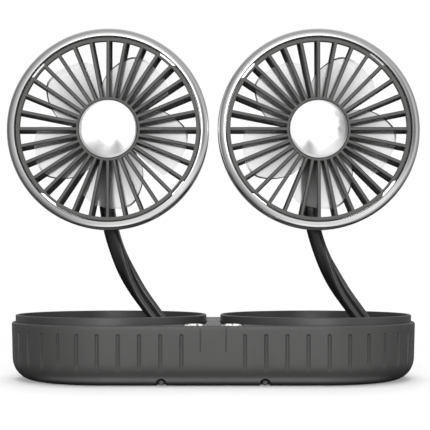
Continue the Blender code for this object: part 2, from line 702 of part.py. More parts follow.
def make_cup(label, holder, materials):
    inner = COLLAR_RADIUS - CUP_WALL
    spigot_end = CUP_UNDERSIDE - SPIGOT_LENGTH
    profile = [
        (0.0, CUP_FLOOR_TOP),
        (inner, CUP_FLOOR_TOP),
        (inner, COLLAR_TOP - COLLAR_LIP),
        (inner + COLLAR_LIP, COLLAR_TOP),
        (COLLAR_RADIUS - COLLAR_LIP, COLLAR_TOP),
        (COLLAR_RADIUS, COLLAR_TOP - COLLAR_LIP),
        (COLLAR_RADIUS, CUP_UNDERSIDE + CUP_CORNER),
        (COLLAR_RADIUS - CUP_CORNER, CUP_UNDERSIDE),
        (SPIGOT_RADIUS, CUP_UNDERSIDE),
        (SPIGOT_RADIUS, spigot_end),
        (SPIGOT_RADIUS - SPIGOT_WALL, spigot_end),
        (SPIGOT_RADIUS - SPIGOT_WALL, CUP_UNDERSIDE),
        (0.0, CUP_UNDERSIDE),
    ]
    cup = make_turned(f"{label}_cup", profile, CUP_STEPS, materials["cup"])
    return hold(cup, holder)


def make_retainer(label, holder, materials):
    inner = SPIGOT_RADIUS + CLOSE_GAP
    low = COVER_TOP + FIT_GAP
    profile = tube_profile(inner, inner + RETAINER_WIDTH, low + FIT_GAP, low + FIT_GAP + RETAINER_THICKNESS)
    return hold(make_turned(f"{label}_retaining_ring", profile, BUSH_STEPS, materials["steel"]), holder)


def arm_path():
    # Stations from the tilt axis to the foot: place across and up, lean from upright, share of the length.
    centre_x = ARM_BEND_RADIUS * math.cos(ARM_TOP_LEAN)
    centre_z = TILT_AXIS_HEIGHT - ARM_BEND_RADIUS * math.sin(ARM_TOP_LEAN)
    total = ARM_BEND_RADIUS * ARM_TURN + ARM_STRAIGHT
    stations = []
    for step in range(ARM_BEND_STEPS + 1):
        lean = -ARM_TOP_LEAN + ARM_TURN * step / ARM_BEND_STEPS
        x = centre_x - ARM_BEND_RADIUS * math.cos(lean)
        z = centre_z - ARM_BEND_RADIUS * math.sin(lean)
        stations.append((x, z, lean, ARM_BEND_RADIUS * ARM_TURN * step / ARM_BEND_STEPS / total))
    end_x, end_z = stations[-1][0], stations[-1][1]
    for step in range(1, ARM_STRAIGHT_STEPS + 1):
        run = ARM_STRAIGHT * step / ARM_STRAIGHT_STEPS
        x = end_x + run * math.sin(ARM_FOOT_LEAN)
        z = end_z - run * math.cos(ARM_FOOT_LEAN)
        stations.append((x, z, ARM_FOOT_LEAN, (ARM_BEND_RADIUS * ARM_TURN + run) / total))
    return stations


def add_swept(bm, outline, stations):
    # The outline is (across, forward); it turns by the arm's twist along the stations.
    rings = []
    for x, z, lean, share in stations:
        twist = ARM_TWIST * share
        ring = []
        for across, forward in outline:
            side = across * math.cos(twist) - forward * math.sin(twist)
            ahead = across * math.sin(twist) + forward * math.cos(twist)
            ring.append(bm.verts.new((x + side * math.cos(lean), -ahead, z + side * math.sin(lean))))
        rings.append(ring)
    for first, second in zip(rings, rings[1:]):
        join_rings(bm, first, second)
    bm.faces.new(rings[0])
    bm.faces.new(rings[-1])


def arm_outline():
    # Rounded bar with a channel in its inner side, towards +X.
    half = ARM_WIDTH / 2
    deep = ARM_DEPTH / 2
    slot = ARM_CHANNEL_WIDTH / 2
    floor = half - ARM_CHANNEL_DEPTH
    return [
        (-half, -deep + ARM_CORNER), (-half + ARM_CORNER, -deep), (half - ARM_CORNER, -deep),
        (half, -deep + ARM_CORNER), (half, -slot), (floor, -slot), (floor, slot), (half, slot),
        (half, deep - ARM_CORNER), (half - ARM_CORNER, deep), (-half + ARM_CORNER, deep),
        (-half, deep - ARM_CORNER),
    ]


def liner_outline():
    half = ARM_WIDTH / 2
    slot = ARM_CHANNEL_WIDTH / 2 - FIT_GAP
    floor = half - ARM_CHANNEL_DEPTH + FIT_GAP
    return [(floor, -slot), (half - LINER_RECESS, -slot), (half - LINER_RECESS, slot), (floor, slot)]


def clear_path(clearance):
    # The stations that lie below the knuckle by at least this much.
    return [station for station in arm_path() if TILT_AXIS_HEIGHT - station[1] > KNUCKLE_RADIUS + clearance]


def make_arm(label, holder, materials):
    stations = clear_path(RUN_GAP)
    bm = bmesh.new()
    add_swept(bm, arm_outline(), stations)
    arm = hold(finish_mesh(f"{label}_arm", bm, materials["arm"]), holder)
    half = KNUCKLE_WIDTH / 2
    deep = ARM_DEPTH / 2 - ARM_CORNER / 2
    low = (-half, -deep, stations[0][1] - ARM_CORNER)
    unite(arm, make_box(f"{label}_neck_adder", low, (half, deep, TILT_AXIS_HEIGHT), materials["arm"]))
    barrel = rod_profile(KNUCKLE_RADIUS, -half, half)
    centre = (0.0, 0.0, TILT_AXIS_HEIGHT)
    unite(arm, make_turned(f"{label}_knuckle_adder", barrel, BUSH_STEPS, materials["arm"], "X", centre))
    hole = rod_profile(PIN_RADIUS + CLOSE_GAP, -half - CUT_OVERRUN, half + CUT_OVERRUN)
    cut(arm, make_turned(f"{label}_pin_hole_cutter", hole, BUTTON_STEPS, materials["arm"], "X", centre))
    return arm


def make_liner(label, holder, materials):
    bm = bmesh.new()
    add_swept(bm, liner_outline(), clear_path(ARM_WIDTH))
    return hold(finish_mesh(f"{label}_arm_liner", bm, materials["liner"]), holder)


def make_socket(label, holder, materials):
    # The block on the cup's floor that the foot of the arm is pressed into.
    foot_x, foot_z, lean, share = arm_path()[-1]
    twist = ARM_TWIST * share
    reach = ARM_WIDTH / 2 * math.cos(twist) + ARM_DEPTH / 2 * math.sin(twist) + FIT_GAP
    half = ARM_WIDTH / 2 * math.sin(twist) + ARM_DEPTH / 2 * math.cos(twist) + FIT_GAP + SOCKET_WALL
    down = Vector((math.sin(lean), 0.0, -math.cos(lean)))
    foot = Vector((foot_x, 0.0, foot_z))
    top = foot_z + SOCKET_DEPTH * math.cos(lean)
    inner_x = foot_x - SOCKET_DEPTH * math.sin(lean) - reach / math.cos(lean) - SOCKET_WALL
    low = (inner_x, -half, CUP_FLOOR_TOP + FIT_GAP)
    high = (foot_x + reach * math.cos(lean) + SOCKET_WALL, half, top)
    socket = hold(make_box(f"{label}_arm_socket", low, high, materials["cup"]), holder)
    bevel = socket.modifiers.new("edge", "BEVEL")
    bevel.width = SOCKET_EDGE
    bevel.segments = 1
    bm = bmesh.new()
    slot_half = ARM_WIDTH / 2 + FIT_GAP
    slot_deep = ARM_DEPTH / 2 + FIT_GAP
    rings = []
    for run in (FIT_GAP, -2 * SOCKET_DEPTH - CUT_OVERRUN):
        ring = []
        for across, forward in ((-slot_half, -slot_deep), (slot_half, -slot_deep), (slot_half, slot_deep),
                                (-slot_half, slot_deep)):
            side = across * math.cos(twist) - forward * math.sin(twist)
            ahead = across * math.sin(twist) + forward * math.cos(twist)
            point = foot + down * run + Vector((side * math.cos(lean), -ahead, side * math.sin(lean)))
            ring.append(bm.verts.new(point))
        rings.append(ring)
    join_rings(bm, rings[0], rings[1])
    bm.faces.new(rings[0])
    bm.faces.new(rings[1])
    cut(socket, finish_mesh(f"{label}_socket_cutter", bm, materials["cup"]))
    return socket


def make_tilt_pin(label, holder, materials):
    reach = KNUCKLE_WIDTH / 2 + RUN_GAP + EAR_THICKNESS + FIT_GAP
    profile = [
        (0.0, -reach - PIN_HEAD_THICKNESS), (PIN_HEAD_RADIUS, -reach - PIN_HEAD_THICKNESS),
        (PIN_HEAD_RADIUS, -reach), (PIN_RADIUS, -reach), (PIN_RADIUS, reach),
        (PIN_HEAD_RADIUS, reach), (PIN_HEAD_RADIUS, reach + PIN_HEAD_THICKNESS),
        (0.0, reach + PIN_HEAD_THICKNESS),
    ]
    centre = (0.0, 0.0, TILT_AXIS_HEIGHT)
    pin = make_turned(f"{label}_tilt_pin", profile, BUTTON_STEPS, materials["steel"], "X", centre)
    return hold(pin, holder)


def spoke_angles(radius):
    # Pairs of angles, one pair for each spoke, a spoke's width apart at this radius.
    half = math.asin(SPOKE_WIDTH / 2 / radius)
    pairs = []
    for index in range(SPOKE_COUNT):
        middle = 2 * math.pi * index / SPOKE_COUNT
        pairs.append((middle - half, middle + half))
    return pairs


def add_spoked_ring(bm, outline, edge, is_ring, tabs=None):
    # Turns an outline about the head's axis. The two points of its attach edge have a vertex at each side of
    # a spoke, the other points have one, and the attach edge stays open at each spoke.
    # An outline that is no ring is closed by a flat face at each end.
    columns = []
    for index, (start, end) in enumerate(spoke_angles(outline[edge][0])):
        column = []
        for point, (radius, along) in enumerate(outline):
            angles = (start, end) if point in (edge, edge + 1) else ((start + end) / 2,)
            reach = radius - GRILLE_TAB_STEP if tabs and radius == GRILLE_RADIUS and tabs(index) else radius
            column.append([bm.verts.new(axis_point(reach, angle, along, "Y")) for angle in angles])
        columns.append(column)
    sides = len(outline) if is_ring else len(outline) - 1
    ends = []
    for index, column in enumerate(columns):
        following = columns[(index + 1) % len(columns)]
        for side in range(sides):
            ahead = (side + 1) % len(outline)
            near, far = column[side], column[ahead]
            bm.faces.new((near[-1], following[side][0], following[ahead][0], far[-1]))
            if side == edge:
                ends.append((near[0], far[0], far[1], near[1]))
            elif len(near) + len(far) > 2:
                bm.faces.new(near + far[::-1])
    if not is_ring:
        bm.faces.new([vertex for column in columns for vertex in column[0]])
        bm.faces.new([vertex for column in columns for vertex in column[-1]])
    return ends


def add_spokes(bm, inner_ends, outer_ends):
    # Both rings list their attach edge from front to back.
    for inner, outer in zip(inner_ends, outer_ends):
        for side in range(len(inner)):
            ahead = (side + 1) % len(inner)
            bm.faces.new((inner[side], inner[ahead], outer[ahead], outer[side]))


def is_tab(index):
    # The snap tabs of the front grille lie in diagonal gaps, between this spoke and the next.
    run = SPOKE_COUNT // GRILLE_TAB_COUNT
    return index % run in (run // 2, run // 2 + 1)


def make_front_grille(label, holder, materials):
    front = GRILLE_FRONT_Y
    back = GRILLE_BACK_Y
    rim = GRILLE_RADIUS - GRILLE_RIM
    outer = [(rim, front), (rim, back), (GRILLE_RADIUS, back), (GRILLE_RADIUS, front)]
    wall = HUB_RING_RADIUS - HUB_RING_WALL
    floor = back - HUB_FLOOR
    hub = [(wall, floor), (wall, front), (HUB_RING_RADIUS, front), (HUB_RING_RADIUS, back)]
    bm = bmesh.new()
    outer_ends = add_spoked_ring(bm, outer, 0, True, is_tab)
    inner_ends = add_spoked_ring(bm, hub, 2, False)
    add_spokes(bm, inner_ends, outer_ends)
    return hold(finish_mesh(f"{label}_front_grille", bm, materials["grille"]), holder)


def make_duct(label, holder, materials):
    front = REAR_FRONT_Y
    back = REAR_BACK_Y
    inner = DUCT_RADIUS - DUCT_WALL
    lip = SEAT_BACK_Y + FIT_GAP
    wall = [(inner, front), (inner, back), (DUCT_RADIUS, back), (DUCT_RADIUS, lip), (inner, lip)]
    bore = MOTOR_RADIUS + FIT_GAP
    holder_ring = [(HOLDER_RADIUS, front), (HOLDER_RADIUS, back), (bore, back), (bore, front)]
    bm = bmesh.new()
    outer_ends = add_spoked_ring(bm, wall, 0, True)
    inner_ends = add_spoked_ring(bm, holder_ring, 0, True)
    add_spokes(bm, inner_ends, outer_ends)
    return hold(finish_mesh(f"{label}_duct", bm, materials["rear"]), holder)


def make_bright_ring(label, holder, materials):
    # The front curves back towards the outside; behind it are the wall round the duct and the grille's seat.
    profile = []
    for step in range(RING_CROWN_STEPS + 1):
        angle = math.pi / 2 * step / RING_CROWN_STEPS
        along = RING_FRONT_Y + RING_CROWN_DEPTH * (1 - math.cos(angle))
        profile.append((RING_INNER_RADIUS + RING_WIDTH * math.sin(angle), along))
    back = RING_FRONT_Y + RING_DEPTH
    recess = DUCT_RADIUS + FIT_GAP
    profile += [
        (RING_RADIUS, back), (recess, back), (recess, SEAT_BACK_Y), (RING_SEAT_RADIUS, SEAT_BACK_Y),
        (RING_SEAT_RADIUS, SEAT_FRONT_Y), (RING_INNER_RADIUS, SEAT_FRONT_Y),
    ]
    ring = make_turned(f"{label}_bright_ring", profile, RING_STEPS, materials["bright"], "Y")
    return hold(ring, holder)


def make_hub_cap(label, holder, materials):
    radius = HUB_RING_RADIUS - HUB_RING_WALL - FIT_GAP
    back = GRILLE_BACK_Y - HUB_FLOOR - FIT_GAP
    front = GRILLE_FRONT_Y
    shoulder = front - CAP_DOME * CAP_SHOULDER_SHARE
    profile = [(0.0, back), (radius, back), (radius, front), (radius - CAP_EDGE, shoulder)]
    profile += [(radius - 2 * CAP_EDGE, front - CAP_DOME), (0.0, front - CAP_DOME)]
    return hold(make_turned(f"{label}_hub_cap", profile, CAP_STEPS, materials["bright"], "Y"), holder)


def make_motor(label, holder, materials):
    edge = MOTOR_EDGE
    profile = [
        (0.0, MOTOR_FRONT_Y), (MOTOR_RADIUS - edge, MOTOR_FRONT_Y), (MOTOR_RADIUS, MOTOR_FRONT_Y + edge),
        (MOTOR_RADIUS, MOTOR_BACK_Y), (0.0, MOTOR_BACK_Y),
    ]
    return hold(make_turned(f"{label}_motor", profile, MOTOR_STEPS, materials["steel"], "Y"), holder)


def make_tilt_bracket(label, holder, materials):
    # A round plate behind the motor, with two ears round the arm's knuckle.
    plate = rod_profile(HOLDER_RADIUS, BRACKET_FRONT_Y, BRACKET_BACK_Y)
    bracket = hold(make_turned(f"{label}_tilt_bracket", plate, CAP_STEPS, materials["rear"], "Y"), holder)
    for index, side in enumerate((-1, 1)):
        near = side * (KNUCKLE_WIDTH / 2 + RUN_GAP)
        far = near + side * EAR_THICKNESS
        bm = bmesh.new()
        outline = [(BRACKET_BACK_Y - FUSE_DEPTH, -EAR_RADIUS)]
        for step in range(EAR_STEPS + 1):
            angle = -math.pi / 2 + math.pi * step / EAR_STEPS
            outline.append((EAR_RADIUS * math.cos(angle), EAR_RADIUS * math.sin(angle)))
        outline.append((BRACKET_BACK_Y - FUSE_DEPTH, EAR_RADIUS))
        rings = [[bm.verts.new((x, y, z)) for y, z in outline] for x in (near, far)]
        join_rings(bm, rings[0], rings[1])
        bm.faces.new(rings[0])
        bm.faces.new(rings[1])
        unite(bracket, finish_mesh(f"{label}_ear_adder_{index}", bm, materials["rear"]))
    hole = rod_profile(PIN_RADIUS + CLOSE_GAP, -HOLDER_RADIUS, HOLDER_RADIUS)
    cut(bracket, make_turned(f"{label}_ear_hole_cutter", hole, BUTTON_STEPS, materials["rear"], "X"))
    return bracket


def blade_reach(share):
    # Tip radius at a share of the sweep, smoothed between the named shares.
    place = share * (len(BLADE_REACH_SHARES) - 1)
    index = min(int(place), len(BLADE_REACH_SHARES) - 2)
    rest = place - index
    return BLADE_TIP_RADIUS * (BLADE_REACH_SHARES[index] * (1 - rest) + BLADE_REACH_SHARES[index + 1] * rest)


def blade_point(column, row):
    share = column / BLADE_COLUMNS
    root = IMPELLER_HUB_RADIUS - FUSE_DEPTH
    radius = root + (blade_reach(share) - root) * row / BLADE_ROWS
    angle = BLADE_LEAD - BLADE_SWEEP * share
    outward = (radius - root) / (BLADE_TIP_RADIUS - root)
    axial = BLADE_AXIAL * (1 - outward * (1 - BLADE_TIP_AXIAL_SHARE))
    lead = BLADE_AXIAL - axial
    return radius, angle, BLADE_FRONT_Y + lead / 2 + axial * share


def add_blade(bm, turn):
    layers = []
    for offset in (0.0, BLADE_THICKNESS):
        layer = []
        for column in range(BLADE_COLUMNS + 1):
            line = []
            for row in range(BLADE_ROWS + 1):
                radius, angle, along = blade_point(column, row)
                line.append(bm.verts.new(axis_point(radius, angle + turn, along + offset, "Y")))
            layer.append(line)
        layers.append(layer)
    for layer in layers:
        for column in range(BLADE_COLUMNS):
            for row in range(BLADE_ROWS):
                bm.faces.new((layer[column][row], layer[column + 1][row],
                              layer[column + 1][row + 1], layer[column][row + 1]))
    edge = [(column, 0) for column in range(BLADE_COLUMNS)]
    edge += [(BLADE_COLUMNS, row) for row in range(BLADE_ROWS)]
    edge += [(column, BLADE_ROWS) for column in range(BLADE_COLUMNS, 0, -1)]
    edge += [(0, row) for row in range(BLADE_ROWS, 0, -1)]
    fronts = [layers[0][column][row] for column, row in edge]
    backs = [layers[1][column][row] for column, row in edge]
    join_rings(bm, fronts, backs)


def make_impeller(label, spinner, materials):
    front = BLADE_FRONT_Y
    skirt = REAR_FRONT_Y - RUN_GAP
    inside = IMPELLER_HUB_RADIUS - IMPELLER_HUB_WALL
    wall = front + IMPELLER_HUB_WALL
    boss_end = MOTOR_FRONT_Y - RUN_GAP
    bore = SHAFT_RADIUS + CLOSE_GAP
    edge = IMPELLER_HUB_EDGE
    profile = [
        (0.0, front), (IMPELLER_HUB_RADIUS - edge, front), (IMPELLER_HUB_RADIUS, front + edge),
        (IMPELLER_HUB_RADIUS, skirt), (inside, skirt), (inside, wall), (IMPELLER_BOSS_RADIUS, wall),
        (IMPELLER_BOSS_RADIUS, boss_end), (bore, boss_end), (bore, wall), (0.0, wall),
    ]
    impeller = make_turned(f"{label}_impeller", profile, IMPELLER_STEPS, materials["blade"], "Y")
    hold(impeller, spinner)
    bm = bmesh.new()
    for index in range(BLADE_COUNT):
        add_blade(bm, 2 * math.pi * index / BLADE_COUNT)
    unite(impeller, finish_mesh(f"{label}_blade_adder", bm, materials["blade"]))
    return impeller


def make_shaft(label, spinner, materials):
    back = MOTOR_FRONT_Y - FIT_GAP
    front = BLADE_FRONT_Y + IMPELLER_HUB_WALL + FIT_GAP
    profile = rod_profile(SHAFT_RADIUS, front, back)
    return hold(make_turned(f"{label}_motor_shaft", profile, SHAFT_STEPS, materials["steel"], "Y"), spinner)


def make_cover_screws(materials):
    top = COVER_BOTTOM + COVER_SCREW_HEAD_HEIGHT
    profile = [
        (0.0, COVER_BOTTOM), (COVER_SCREW_HEAD_RADIUS, COVER_BOTTOM), (COVER_SCREW_HEAD_RADIUS, top),
        (COVER_SCREW_SHANK_RADIUS, top), (COVER_SCREW_SHANK_RADIUS, COVER_SCREW_LENGTH), (0.0, COVER_SCREW_LENGTH),
    ]
    for index, (x, y) in enumerate(screw_places()):
        make_turned(f"cover_screw_{index + 1}", profile, SHAFT_STEPS, materials["steel"], "Z", (x, y, 0.0))


def build_base(materials):
    make_casing(materials)
    make_cover(materials)
    make_pad(materials)
    make_board(materials)
    make_inlet(materials)
    make_cover_screws(materials)
    for label, side in SIDES:
        make_bush(label, side, materials)
        make_button(label, side, materials)
        make_switch(label, side, materials)
        make_lens(label, side, materials)


def build_fan(label, side, materials):
    turntable = make_empty(f"{label}_turntable", (side * HALF_SPACING, 0.0, 0.0))
    make_cup(label, turntable, materials)
    make_retainer(label, turntable, materials)
    make_arm(label, turntable, materials)
    make_liner(label, turntable, materials)
    make_socket(label, turntable, materials)
    make_tilt_pin(label, turntable, materials)
    head = make_empty(f"{label}_head", (0.0, 0.0, TILT_AXIS_HEIGHT), turntable)
    make_front_grille(label, head, materials)
    make_duct(label, head, materials)
    make_bright_ring(label, head, materials)
    make_hub_cap(label, head, materials)
    make_motor(label, head, materials)
    make_tilt_bracket(label, head, materials)
    spinner = make_empty(f"{label}_spinner", (0.0, 0.0, 0.0), head)
    make_impeller(label, spinner, materials)
    make_shaft(label, spinner, materials)


def main():
    clear_scene()
    materials = make_materials()
    build_base(materials)
    for label, side in SIDES:
        build_fan(label, side, materials)


main()
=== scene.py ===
# Dual head car fan, dressed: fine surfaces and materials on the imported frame, one floor, soft light, one camera.
# Metres, +Z up, the heads face -Y.

import math

import bmesh
import bpy
from mathutils import Matrix, Vector


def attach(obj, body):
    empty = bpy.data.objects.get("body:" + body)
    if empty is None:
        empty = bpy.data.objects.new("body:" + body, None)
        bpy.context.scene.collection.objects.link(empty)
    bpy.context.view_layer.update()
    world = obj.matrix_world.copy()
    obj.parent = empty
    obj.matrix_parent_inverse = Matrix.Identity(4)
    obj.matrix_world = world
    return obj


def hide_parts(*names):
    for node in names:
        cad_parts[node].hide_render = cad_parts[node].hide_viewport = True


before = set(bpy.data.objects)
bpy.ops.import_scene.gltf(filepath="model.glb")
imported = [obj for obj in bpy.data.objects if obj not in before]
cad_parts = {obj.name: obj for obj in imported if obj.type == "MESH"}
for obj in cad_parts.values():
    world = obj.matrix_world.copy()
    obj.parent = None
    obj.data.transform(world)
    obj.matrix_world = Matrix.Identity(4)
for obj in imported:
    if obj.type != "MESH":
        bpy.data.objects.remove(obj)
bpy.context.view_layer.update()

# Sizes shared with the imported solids
HALF_SPACING = 0.0560
END_RADIUS = 0.0542
PAD_STAND = 0.0004
DECK_TOP = 0.0313
DECK_THICKNESS = 0.0020
FOOT_FILLET = 0.0120
CASING_WALL = 0.0013
CASING_THROAT = 0.0410
COVER_RADIUS = 0.0407
FIT_GAP = 0.0003
COLLAR_RADIUS = 0.0522
COLLAR_TOP = 0.0352
CUP_OPENING_RADIUS = 0.0526
CUP_WALL = 0.0014
CUP_UNDERSIDE = 0.0095
CUP_FLOOR_TOP = 0.0110
TILT_HEIGHT = 0.1343
HALF_OUTLINE = 2 * HALF_SPACING + math.pi * END_RADIUS
SIDES = (("left", -1), ("right", 1))

SMOOTH_ANGLE = 38.0

# Fine casing surface; the ridge in a groove's middle is given in shares of the half width and of the depth
FOOT_BOTTOM = 0.0001
GROOVE_PITCH = 0.0107
GROOVE_WIDTH = 0.0018
GROOVE_DEPTH = 0.0009
GROOVE_TOP = 0.0270
GROOVE_REAR_PLAIN = 0.0220
GROOVE_EDGE = 0.00030
RIDGE_HALF = 0.55
RIDGE_FADE = 0.30
RIDGE_HEIGHT = 0.60
GROOVE_COLUMNS = (0.0, 0.25, 0.40, 0.55, 0.70, 0.85, 1.0, 1.15, 1.5)
WALL_DRAFT = 0.00062
DRAFT_TOP = 0.0290
DRAFT_HEIGHT = 0.0190
TOP_ROUND = 0.0009
WALL_ROWS = (0.0145, 0.0165, 0.0180, 0.0183, 0.0186, 0.0205, 0.0225, 0.0245)
CROWN_ROW_SPACING = 0.00022
COLUMN_SPACING = 0.0030
SEAM_OFFSET = 0.0065
SEAM_WIDTH = 0.00035
SEAM_DEPTH = 0.0003
SEAM_BOTTOM = 0.0183
SEAM_TOP = 0.0298
SEAM_COLUMNS = (0.0, 0.6, 1.0, 1.6)
DECK_EDGE = 0.0003
NOTCH_OFFSET = 0.0265
NOTCH_RADIUS = 0.0029
NOTCH_FLARE = 0.0003
NOTCH_HEIGHT = 0.0015
NOTCH_SILL = 0.0008
INLET_HEIGHT = 0.0170
INLET_SEAT_RADIUS = 0.0055
INLET_BORE_RADIUS = 0.0040
INLET_SEAT_Y = END_RADIUS - 0.0010
RECESS_DEPTH = 0.0009
RECESS_INNER = 0.0038
RECESS_OUTER = 0.0157
RECESS_FRONT_Y = 0.0008 - END_RADIUS

# Where the cutters end, clear of the walls that they pass
CUT_BELOW = -0.002
CUT_ABOVE = 0.0350
CUT_OUTSIDE = 0.0580
OPENING_CUT_BOTTOM = 0.0240
INLET_CUT_FRONT = 0.0500
NOTCH_FLARE_Y = -0.0485
NOTCH_SILL_Y = -0.0480

# Buttons and indicator lenses; the lens levels are (share of the outline, height above the deck)
BUTTON_TIP_Y = 0.0055 - END_RADIUS
BUTTON_HEIGHT = 0.0024
BUTTON_RADIUS = 0.0014
BUTTON_FLANGE_RADIUS = 0.0018
BUTTON_STEM_BACK_Y = -0.0447
BUTTON_FLANGE_FRONT_Y = -0.0445
BUTTON_FLANGE_BACK_Y = -0.0434
LENS_OFFSET = 0.0094
LENS_CENTRE_Y = 0.0033 - END_RADIUS
LENS_HALF_LENGTH = 0.0062
LENS_HALF_WIDTH = 0.0021
LENS_POCKET = 0.0013
LENS_LEVELS = ((1.0, -0.0004), (0.93, 0.0001), (0.72, 0.0006), (0.45, 0.0009))
LENS_TIP_SHADE = (0.0026, 0.0056)  # from the lens's middle

# Head, places along Y from the tilt axis
RING_FRONT = -0.0300
RING_BACK = -0.0188
RING_RADIUS = 0.0537
RING_INNER = 0.0493
RING_LIP = 0.00035
RING_TILT_INNER = math.radians(5.0)
RING_TILT_OUTER = math.radians(62.0)
RING_TILT_POWER = 1.6
SEAT_RADIUS = 0.0471
GRILLE_FRONT = -0.0285
GRILLE_BACK = -0.0255
GRILLE_RADIUS = 0.0489
GRILLE_INNER = 0.0469
GRILLE_SKIRT = 0.0003
GRILLE_STEP = 0.0012
TAB_RADIUS = 0.0480
SPOKE_COUNT = 32
SPOKE_WIDTH = 0.0019
SPOKE_OVERLAP = 0.0006
HUB_RADIUS = 0.0170
HUB_INNER = 0.0158
HUB_FLOOR = 0.0010
CAP_RADIUS = 0.0155
CAP_RISE = 0.0009
CAP_EDGE = 0.0004
REAR_FRONT = -0.0140
REAR_BACK = -0.0115
DUCT_RADIUS = 0.0521
DUCT_INNER = 0.0504
DUCT_FRONT = -0.0237
HOLDER_RADIUS = 0.0137
HOLDER_BORE = 0.0113
REAR_SPOKE_WIDTH = 0.0019

# Impeller; the blade's lines are shares of its run (U) and of its reach (V)
BLADE_COUNT = 5
BLADE_FRONT = -0.0245
BLADE_AXIAL = 0.0082
BLADE_TIP_NARROWING = 0.45
BLADE_THICKNESS = 0.0009
BLADE_TIP = 0.0426
BLADE_LEAD = math.radians(104.0)
BLADE_SWEEP = math.radians(72.0)
BLADE_REACH_SHARES = (0.45, 0.635, 0.77, 0.885, 0.98, 1.0, 0.985, 0.965, 0.94, 0.88)
BLADE_COLUMNS = 28
BLADE_ROWS = 14
BLADE_FINE_U = (0.007, 0.014, 0.020, 0.027, 0.034, 0.980, 0.990)
BLADE_FINE_V = (0.955, 0.970, 0.985, 1.0)
IMPELLER_HUB = 0.0152
IMPELLER_ROOT = IMPELLER_HUB - 0.0004
IMPELLER_WALL = 0.0014

# Arm
ARM_STEPS = 56
ARM_BEND_RADIUS = 0.1062
ARM_TOP_LEAN = math.radians(15.0)
ARM_FOOT_LEAN = math.radians(36.0)
ARM_STRAIGHT = 0.0340
ARM_HALF = 0.0039
ARM_REAR_ROUND = 0.0030
ARM_FRONT_ROUND = 0.0020
ARM_TRIM_SEAT = 0.0027
ARM_TRIM_HALF = 0.0036
ARM_COVER = 0.0041
ARM_GROOVE_HALF = 0.0008
ARM_DROP = 0.0066
LINER_DROP = 0.0100
KNUCKLE_HALF = 0.0025
KNUCKLE_RADIUS = 0.0060
NECK_SIZE = (0.0050, 0.0062, 0.0096)
NECK_DROP = 0.0052
ARM_TWIST_TOP = math.radians(6.0)
ARM_TWIST_FOOT = math.radians(68.0)

# Changes along the arm: where each starts and how long it takes, as shares of the arm's run
ARM_TWIST = (0.47, 0.30)
STRIP_HIDDEN = (0.08, 0.06)
STRIP_RAISED = (0.40, 0.12)
STRIP_BARED = (0.53, 0.12)
# Heights over which the painted shade on the strip fades out towards the foot
STRIP_PAINTED_SHADE_HEIGHTS = (0.054, 0.070)


# Object and mesh helpers


def link_object(name, data):
    item = bpy.data.objects.new(name, data)
    bpy.context.scene.collection.objects.link(item)
    return item


def new_object(name, bm, smooth_angle=SMOOTH_ANGLE):
    bmesh.ops.recalc_face_normals(bm, faces=bm.faces)
    mesh = bpy.data.meshes.new(name)
    bm.to_mesh(mesh)
    bm.free()
    item = link_object(name, mesh)
    smooth_from_angle(item, smooth_angle)
    return item


def smooth_from_angle(item, degrees):
    item.data.shade_smooth()
    item.data.set_sharp_from_angle(angle=math.radians(degrees))


def paint(item, material):
    item.data.materials.clear()
    item.data.materials.append(material)


def finish_piece(item, body, material, slot, *nodes):
    paint(item, material)
    if nodes:
        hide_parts(*nodes)
    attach(item, body)


def add_bevel(item, width):
    bevel = item.modifiers.new("edge", "BEVEL")
    bevel.width = width
    bevel.segments = 2
    return bevel


def smooth_step(value):
    value = min(max(value, 0.0), 1.0)
    return value * value * (3 - 2 * value)


def eased(place, start, length):
    # 0 up to start, 1 from start + length on, smooth in between.
    return smooth_step((place - start) / length)


def quarter_turn(steps):
    return [math.pi / 2 * step / steps for step in range(steps + 1)]


def full_turn(steps):
    return [2 * math.pi * step / steps for step in range(steps)]


def rounded(profile, steps=4, radius=0.0):
    # Rounds every corner of a closed outline that is off the axis. A third number in a corner is its own radius.
    out = []
    count = len(profile)
    for index, point in enumerate(profile):
        here = Vector(point[:2])
        reach = point[2] if len(point) > 2 else radius
        if reach == 0.0 or here.x == 0.0:
            out.append(tuple(here))
            continue
        before = Vector(profile[index - 1][:2]) - here
        after = Vector(profile[(index + 1) % count][:2]) - here
        reach = min(reach, before.length * 0.48, after.length * 0.48)
        start = here + before.normalized() * reach
        end = here + after.normalized() * reach
        for step in range(steps + 1):
            t = step / steps
            out.append(tuple(start * (1 - t) ** 2 + here * 2 * t * (1 - t) + end * t ** 2))
    return out


def axis_point(radius, angle, along, axis):
    across = radius * math.cos(angle)
    up = radius * math.sin(angle)
    if axis == "Z":
        return Vector((across, up, along))
    if axis == "Y":
        return Vector((across, along, up))
    return Vector((along, across, up))


def join_rings(bm, first, second):
    count = len(first)
    for step in range(count):
        ahead = (step + 1) % count
        bm.faces.new((first[step], first[ahead], second[ahead], second[step]))


def close_tube(bm, rings):
    # Walls from ring to ring and one face over each end.
    for first, second in zip(rings, rings[1:]):
        join_rings(bm, first, second)
    bm.faces.new(rings[0])
    bm.faces.new(rings[-1])


def tube(name, rings, smooth_angle=SMOOTH_ANGLE):
    bm = bmesh.new()
    close_tube(bm, [[bm.verts.new(point) for point in ring] for ring in rings])
    return new_object(name, bm, smooth_angle)


